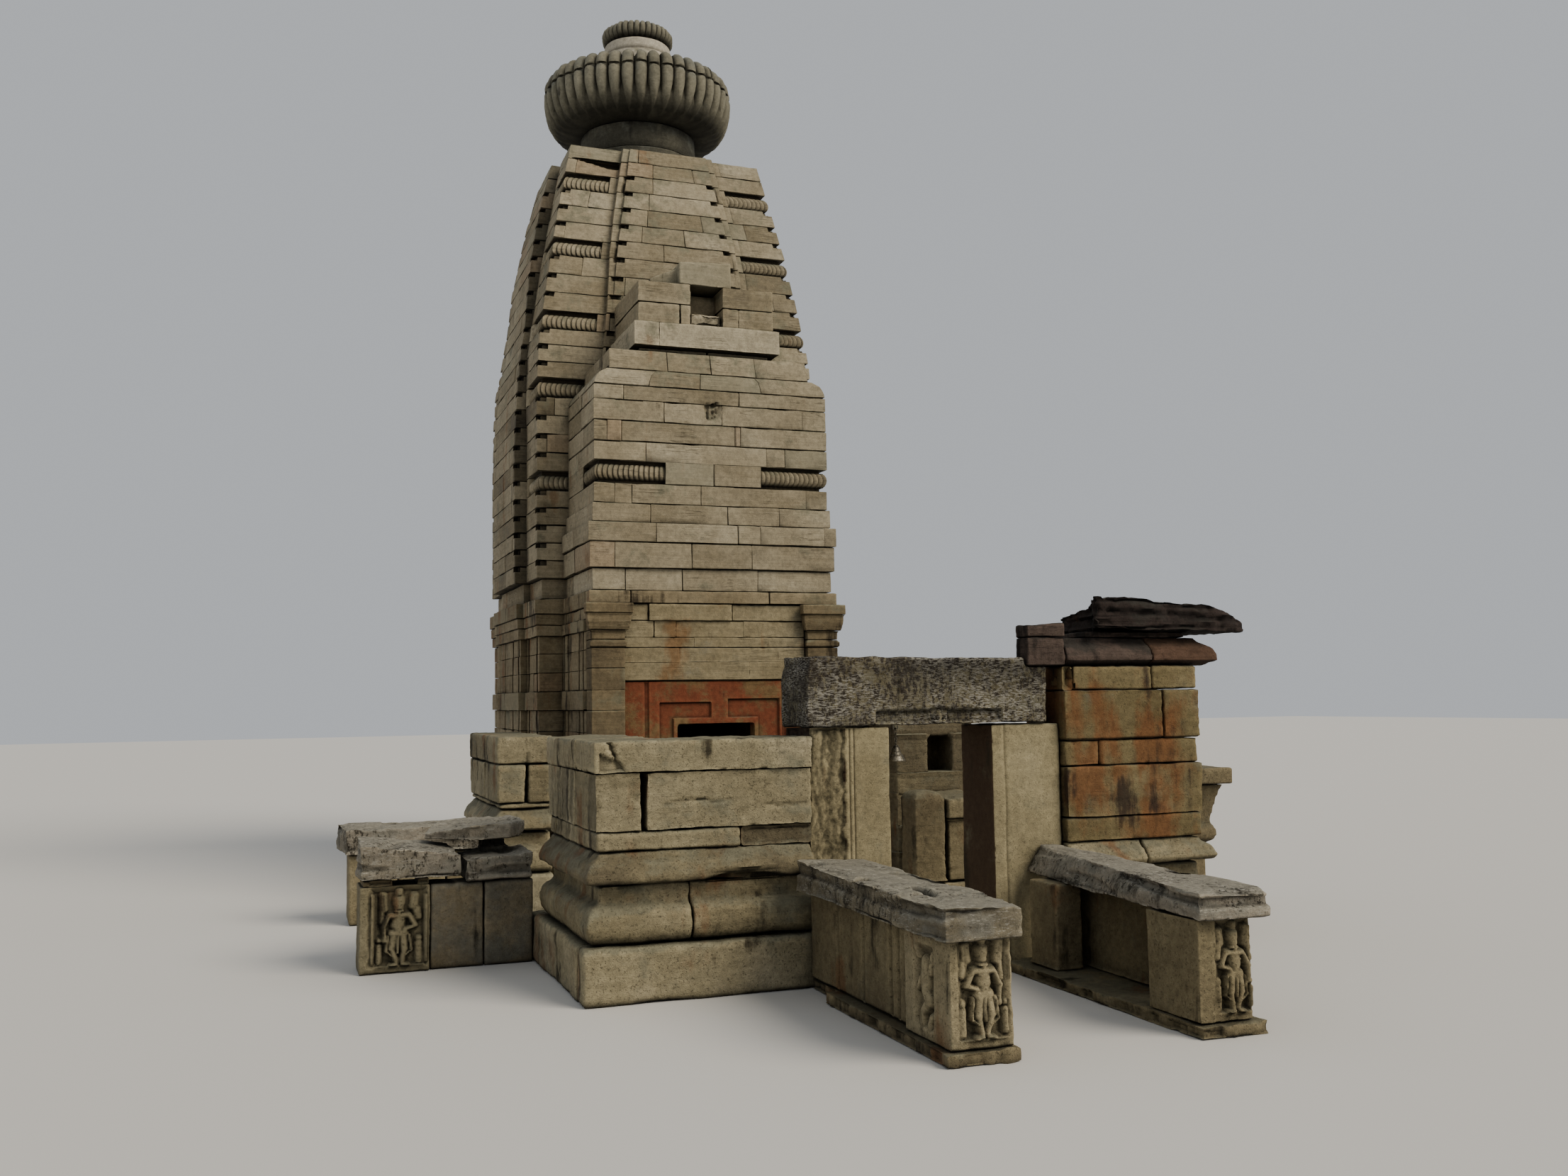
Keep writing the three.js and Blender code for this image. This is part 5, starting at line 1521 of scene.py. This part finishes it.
# A standing attendant in relief, in metres from the panel's foot: limbs as (u0, v0, u1, v1, radius)
ATTENDANT = [
    (0.0, 0.385, 0.0, 0.405, 0.030), (0.0, 0.362, 0.0, 0.372, 0.024), (0.0, 0.438, 0.0, 0.456, 0.020),
    (0.0, 0.340, 0.002, 0.328, 0.013), (-0.040, 0.314, 0.040, 0.314, 0.020),
    (0.0, 0.300, 0.006, 0.262, 0.036), (0.006, 0.262, 0.004, 0.238, 0.027),
    (-0.018, 0.216, 0.024, 0.216, 0.030), (-0.018, 0.205, -0.024, 0.130, 0.023),
    (-0.024, 0.130, -0.014, 0.062, 0.016), (0.024, 0.205, 0.034, 0.135, 0.023),
    (0.034, 0.135, 0.012, 0.062, 0.016), (-0.014, 0.052, -0.040, 0.044, 0.012),
    (0.012, 0.052, 0.040, 0.044, 0.012), (-0.050, 0.306, -0.074, 0.256, 0.015),
    (-0.074, 0.256, -0.030, 0.240, 0.014), (-0.030, 0.240, -0.026, 0.236, 0.017),
    (0.050, 0.306, 0.072, 0.254, 0.014), (0.072, 0.254, 0.066, 0.190, 0.012),
    (0.066, 0.190, 0.066, 0.178, 0.016), (-0.046, 0.205, -0.056, 0.120, 0.008),
    (-0.056, 0.120, -0.012, 0.085, 0.008), (0.004, 0.205, 0.006, 0.110, 0.009),
    (0.050, 0.205, 0.060, 0.120, 0.008), (0.060, 0.120, 0.020, 0.085, 0.008),
    (-0.030, 0.226, 0.034, 0.226, 0.008), (-0.110, 0.026, 0.105, 0.026, 0.016),
    (-0.014, 0.340, 0.014, 0.340, 0.010), (-0.022, 0.300, 0.024, 0.286, 0.007)]
# The two small worn figures beside the attendant, and the pilasters at the panel's edges
COMPANIONS = [
    (-0.070, 0.420, -0.066, 0.360, 0.024), (-0.080, 0.345, -0.086, 0.300, 0.022),
    (0.074, 0.430, 0.070, 0.350, 0.022), (0.078, 0.340, 0.080, 0.280, 0.014),
    (-0.090, 0.186, -0.090, 0.182, 0.019), (-0.090, 0.155, -0.092, 0.065, 0.021),
    (0.090, 0.150, 0.092, 0.065, 0.016), (0.090, 0.182, 0.090, 0.178, 0.015),
    (-0.122, 0.060, -0.122, 0.420, 0.011), (0.122, 0.060, 0.122, 0.430, 0.010)]
# The kneeling figure on a block's side
KNEELING = [
    (0.0, 0.320, 0.0, 0.300, 0.036), (0.0, 0.270, 0.0, 0.220, 0.044), (0.0, 0.20, -0.04, 0.16, 0.034),
    (-0.04, 0.16, 0.02, 0.11, 0.030), (0.02, 0.11, 0.03, 0.07, 0.026), (0.05, 0.34, 0.08, 0.38, 0.022),
    (0.035, 0.25, 0.065, 0.20, 0.016), (-0.06, 0.28, -0.085, 0.36, 0.020),
    (-0.07, 0.10, -0.05, 0.06, 0.02)]


def carved_panel(centre_x, face_y, foot_z, width, tall=1.0, broad=1.0, mirror=1.0, left_face=None):
    """Carving for an end block: the attendant on its front and, where given, a kneeling one on the left.
    The ground falls back softly behind the figure and rises again to the block's edges."""
    def carve(spots, normals):
        x, y, z = spots[:, 0], spots[:, 1], spots[:, 2]
        u, v = (x - centre_x) * mirror / broad, (z - foot_z) / tall
        broken = fractal_at(spots, (9.0, 0.0, 11.0), (0.0, 2.0, 0.0))
        ground = risen(0.016 * broken - np.abs(x - centre_x), -width / 2, 0.045) * risen(v, 0.030, 0.03)
        figures = np.maximum(soft_blobs(u, v, ATTENDANT) * 0.046, soft_blobs(u, v, COMPANIONS) * 0.8 * 0.034)
        carved = figures * np.clip(ground * 2, 0, 1) - ground * 0.036 + 0.006 * broken
        relief = np.where((normals[:, 1] < -0.5) & (y < face_y + 0.05), carved, 0.0)
        if left_face is not None:
            u = y - left_face
            ground = risen(-np.abs(u), -0.105, 0.03) * risen(-v, -0.40, 0.04) * risen(v, 0.04, 0.03)
            kneeling = soft_blobs(u, v, KNEELING) * ground * 0.034 - ground * 0.030
            relief = np.where(normals[:, 0] < -0.5, kneeling, relief)
        return relief
    return carve


def bench_panels(lines, width=0.013):
    """Sunk upright lines that part a parapet into panels, over a sill with a ragged edge."""
    def carve(spots, normals):
        y, z = spots[:, 1], spots[:, 2]
        on_line = np.zeros(len(y), bool)
        for line in lines:
            on_line |= np.abs(y - line) < width
        relief = np.where((np.abs(normals[:, 0]) > 0.7) & on_line & (z > 0.07), -0.024, 0.0)
        ragged = fractal_at(spots, (5.0, 5.0, 0.0), (0.0, 0.0, 3.0), falloff=0.7, layers=4)
        return np.where((z < 0.062) & (np.abs(normals[:, 2]) < 0.8), ragged * 0.030 - 0.008, relief)
    return carve


# Sockets in the left seat: centre across and along, and half sizes
SEAT_SOCKETS = [(-0.79, -6.70, 0.060, 0.090), (-0.79, -7.34, 0.055, 0.065), (-0.56, -7.42, 0.040, 0.100),
                (-0.67, -7.77, 0.040, 0.130)]


def socket_share(x, y):
    """How far into a socket of the left seat each point lies, 0 to 1."""
    deepest = np.zeros(len(x))
    for cx, cy, rx, ry in SEAT_SOCKETS:
        deepest = np.maximum(deepest, np.clip(2.2 - 2.2 * np.hypot((x - cx) / rx, (y - cy) / ry), 0.0, 1.0))
    return deepest


def edge_share(normals):
    """1 on a slab's edges and underside, falling to 0 on its top."""
    return risen(-normals[:, 2], -0.6, 0.4)


def left_seat_dirt_and_shade(spots, normals):
    """The sockets hold black dirt, and the seat's edges and underside are painted darker than its rubbed top,
    as shade.
    """
    dirt = np.where(normals[:, 2] > 0.6, 1.6 * socket_share(spots[:, 0], spots[:, 1]), 0.0)
    return dirt + 0.65 * edge_share(normals) - 0.2


def shaded_seat_edges(spots, normals):
    """A seat's edges and underside are painted darker than its rubbed top, as shade."""
    return 0.65 * edge_share(normals) - 0.25


def left_seat(spots, normals):
    """The left seat's sockets, crack and flaked skin."""
    relief = flaked_top(spots, normals)
    x, y, top = spots[:, 0], spots[:, 1], normals[:, 2] > 0.6
    relief = np.where(top, relief - socket_share(x, y) * 0.042, relief)
    crack = np.abs(y + 7.62 + (x + 0.85) * 0.9 + 0.02 * np.sin(x * 40)) < 0.010
    return np.where(crack & (normals[:, 2] > -0.3), relief - 0.012, relief)


# How every seat slab, and every carved end block, is worn
WORN_SEAT = {"slot": "grey_weathered_stone", "soft": 3, "bed": 0.003, "joint": 0.0}
WORN_CARVING = {"rough": 0.005, "soft": 3, "joint": 0.0}


def build_benches():
    """The two benches before the hall: parapets, carved end blocks and seat slabs."""
    hewn("left_bench_wall", BENCH_STONE, grain=0.012, rough=0.004, seed=91,
         carve=bench_panels([-6.911, -7.249, -7.583, -7.672]), cuts=[("z", 0.061, {})])
    hewn("left_bench_block", BENCH_STONE, grain=0.0065, seed=92, tone=(1.1, 0.0), **WORN_CARVING,
         carve=carved_panel(-0.628, -8.268, 0.062, 0.26, tall=1.06, broad=1.12, left_face=-8.00))
    hewn("left_bench_slab", SEAT_STONE, grain=0.0115, rough=0.007, seed=93, carve=left_seat,
         soot=left_seat_dirt_and_shade, **WORN_SEAT)
    hewn("right_bench_wall", BENCH_STONE, grain=0.013, rough=0.006, seed=94,
         joint=0.0005, bed=0.004, carve=bench_panels([]), cuts=[("z", 0.058, {})])
    hewn("right_bench_block", BENCH_STONE, grain=0.0065, seed=95, **WORN_CARVING,
         carve=carved_panel(0.697, -8.290, 0.062, 0.225, broad=1.05))
    hewn("right_bench_slab", SEAT_STONE, grain=0.0125, rough=0.007, seed=96, carve=flaked_top,
         soot=shaded_seat_edges, tone=(1.75, 0.0), **WORN_SEAT)


def build_porches():
    """The side porches: benches, seat slabs, the carved block and the pillar's base."""
    hewn("porch_near_block", BENCH_STONE, grain=0.0075, rough=0.006, soft=3, seed=101, joint=0.0,
         carve=carved_panel(-2.850, -5.084, 0.0, 0.37, tall=1.07, broad=1.28, mirror=-1.0),
         cuts=[("z", 0.514, {})])
    # The near panel has a paler tone, painted light against the shade that falls on it
    hewn("porch_near_panel", GREY_STONE, "dark_weathered_stone", grain=0.014,
         rough=0.005, seed=102, tone=(0.66, 0.1), cuts=[("x", -2.346, {})])
    for node, seed in (("porch_near_slab_outer", 103), ("porch_near_slab_inner", 104),
                       ("porch_loose_slab", 105), ("porch_far_slab", 106)):
        hewn(node, SEAT_STONE, grain=0.0135, rough=0.008, seed=seed, carve=flaked_top, soot=shaded_seat_edges,
             tone=(1.15, 0.0), **WORN_SEAT)
    hewn("porch_far_bench", BENCH_STONE, grain=0.022, rough=0.006, seed=107,
         cuts=[("x", -2.7, {}), ("x", -2.35, {})])
    hewn("right_porch_near_bench", BENCH_STONE, grain=0.022, rough=0.007,
         seed=108, cuts=[("z", 0.5125, {})])
    hewn("right_porch_far_bench", BENCH_STONE, grain=0.024, rough=0.007,
         seed=109, cuts=[("z", 0.5125, {}), ("x", 2.6, {"z": (0, 0.5)})])
    hewn("right_porch_pillar_base", BENCH_STONE, grain=0.015, rough=0.005,
         seed=110, cuts=[("z", 0.921, {})])


# The bell

BELL_AXIS = (-0.075, -6.216)


def turned_brass(name, node, profile, sides, body):
    """A brass piece turned about the bell's axis from (radius, height) points."""
    points = []
    for r, z in profile:
        for k in range(sides):
            a = 2 * math.pi * k / sides
            points.append(Vector((BELL_AXIS[0] + r * math.cos(a), BELL_AXIS[1] + r * math.sin(a), z)))
    turned = Masonry()
    turned.add(points, ring_faces(len(profile), sides, joined=True), 0.5, [0.0] * len(points))
    turned.piece(name, [node] if node else [], BELL_BRASS, body, smooth=50)


def build_bell():
    """The bell as a shell with its rim and rings, its clapper, and the metal of the chain and staple."""
    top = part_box("bell")[1].z
    shell = [(0.0006, -0.012), (0.017, -0.018), (0.022, -0.030), (0.030, -0.052), (0.036, -0.064),
             (0.042, -0.075), (0.047, -0.086), (0.051, -0.0935), (0.0555, -0.0940), (0.0565, -0.0915),
             (0.0555, -0.0880), (0.0505, -0.0800), (0.0460, -0.0720), (0.0415, -0.0640), (0.0425, -0.0620),
             (0.0405, -0.0600), (0.0340, -0.0520), (0.0290, -0.0400), (0.0300, -0.0380), (0.0280, -0.0360),
             (0.0250, -0.0280), (0.0220, -0.0160), (0.0170, -0.0070), (0.0120, -0.0030), (0.0110, -0.0010),
             (0.0006, 0.0)]
    turned_brass("temple_bell", "bell", [(r, top + z) for r, z in shell], 48, "bell")
    clapper = [(0.0006, -0.0900), (0.0040, -0.0890), (0.0075, -0.0850), (0.0088, -0.0800), (0.0075, -0.0740),
               (0.0040, -0.0700), (0.0025, -0.0680), (0.0025, -0.0100), (0.0006, -0.0100)]
    turned_brass("bell_clapper", None, [(r, top + z) for r, z in clapper], 20, "bell")
    for node in ("bell_chain", "bell_staple"):
        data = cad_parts[node].data
        data.materials.clear()
        data.materials.append(BELL_BRASS)


# Putting it together

set_camera()
set_floor()
set_light()
build_shrine_walls()
build_cornices()
build_shrine_front()
build_spire()
build_gable()
build_crown()
build_hall()
build_doorway()
build_benches()
build_porches()
build_bell()
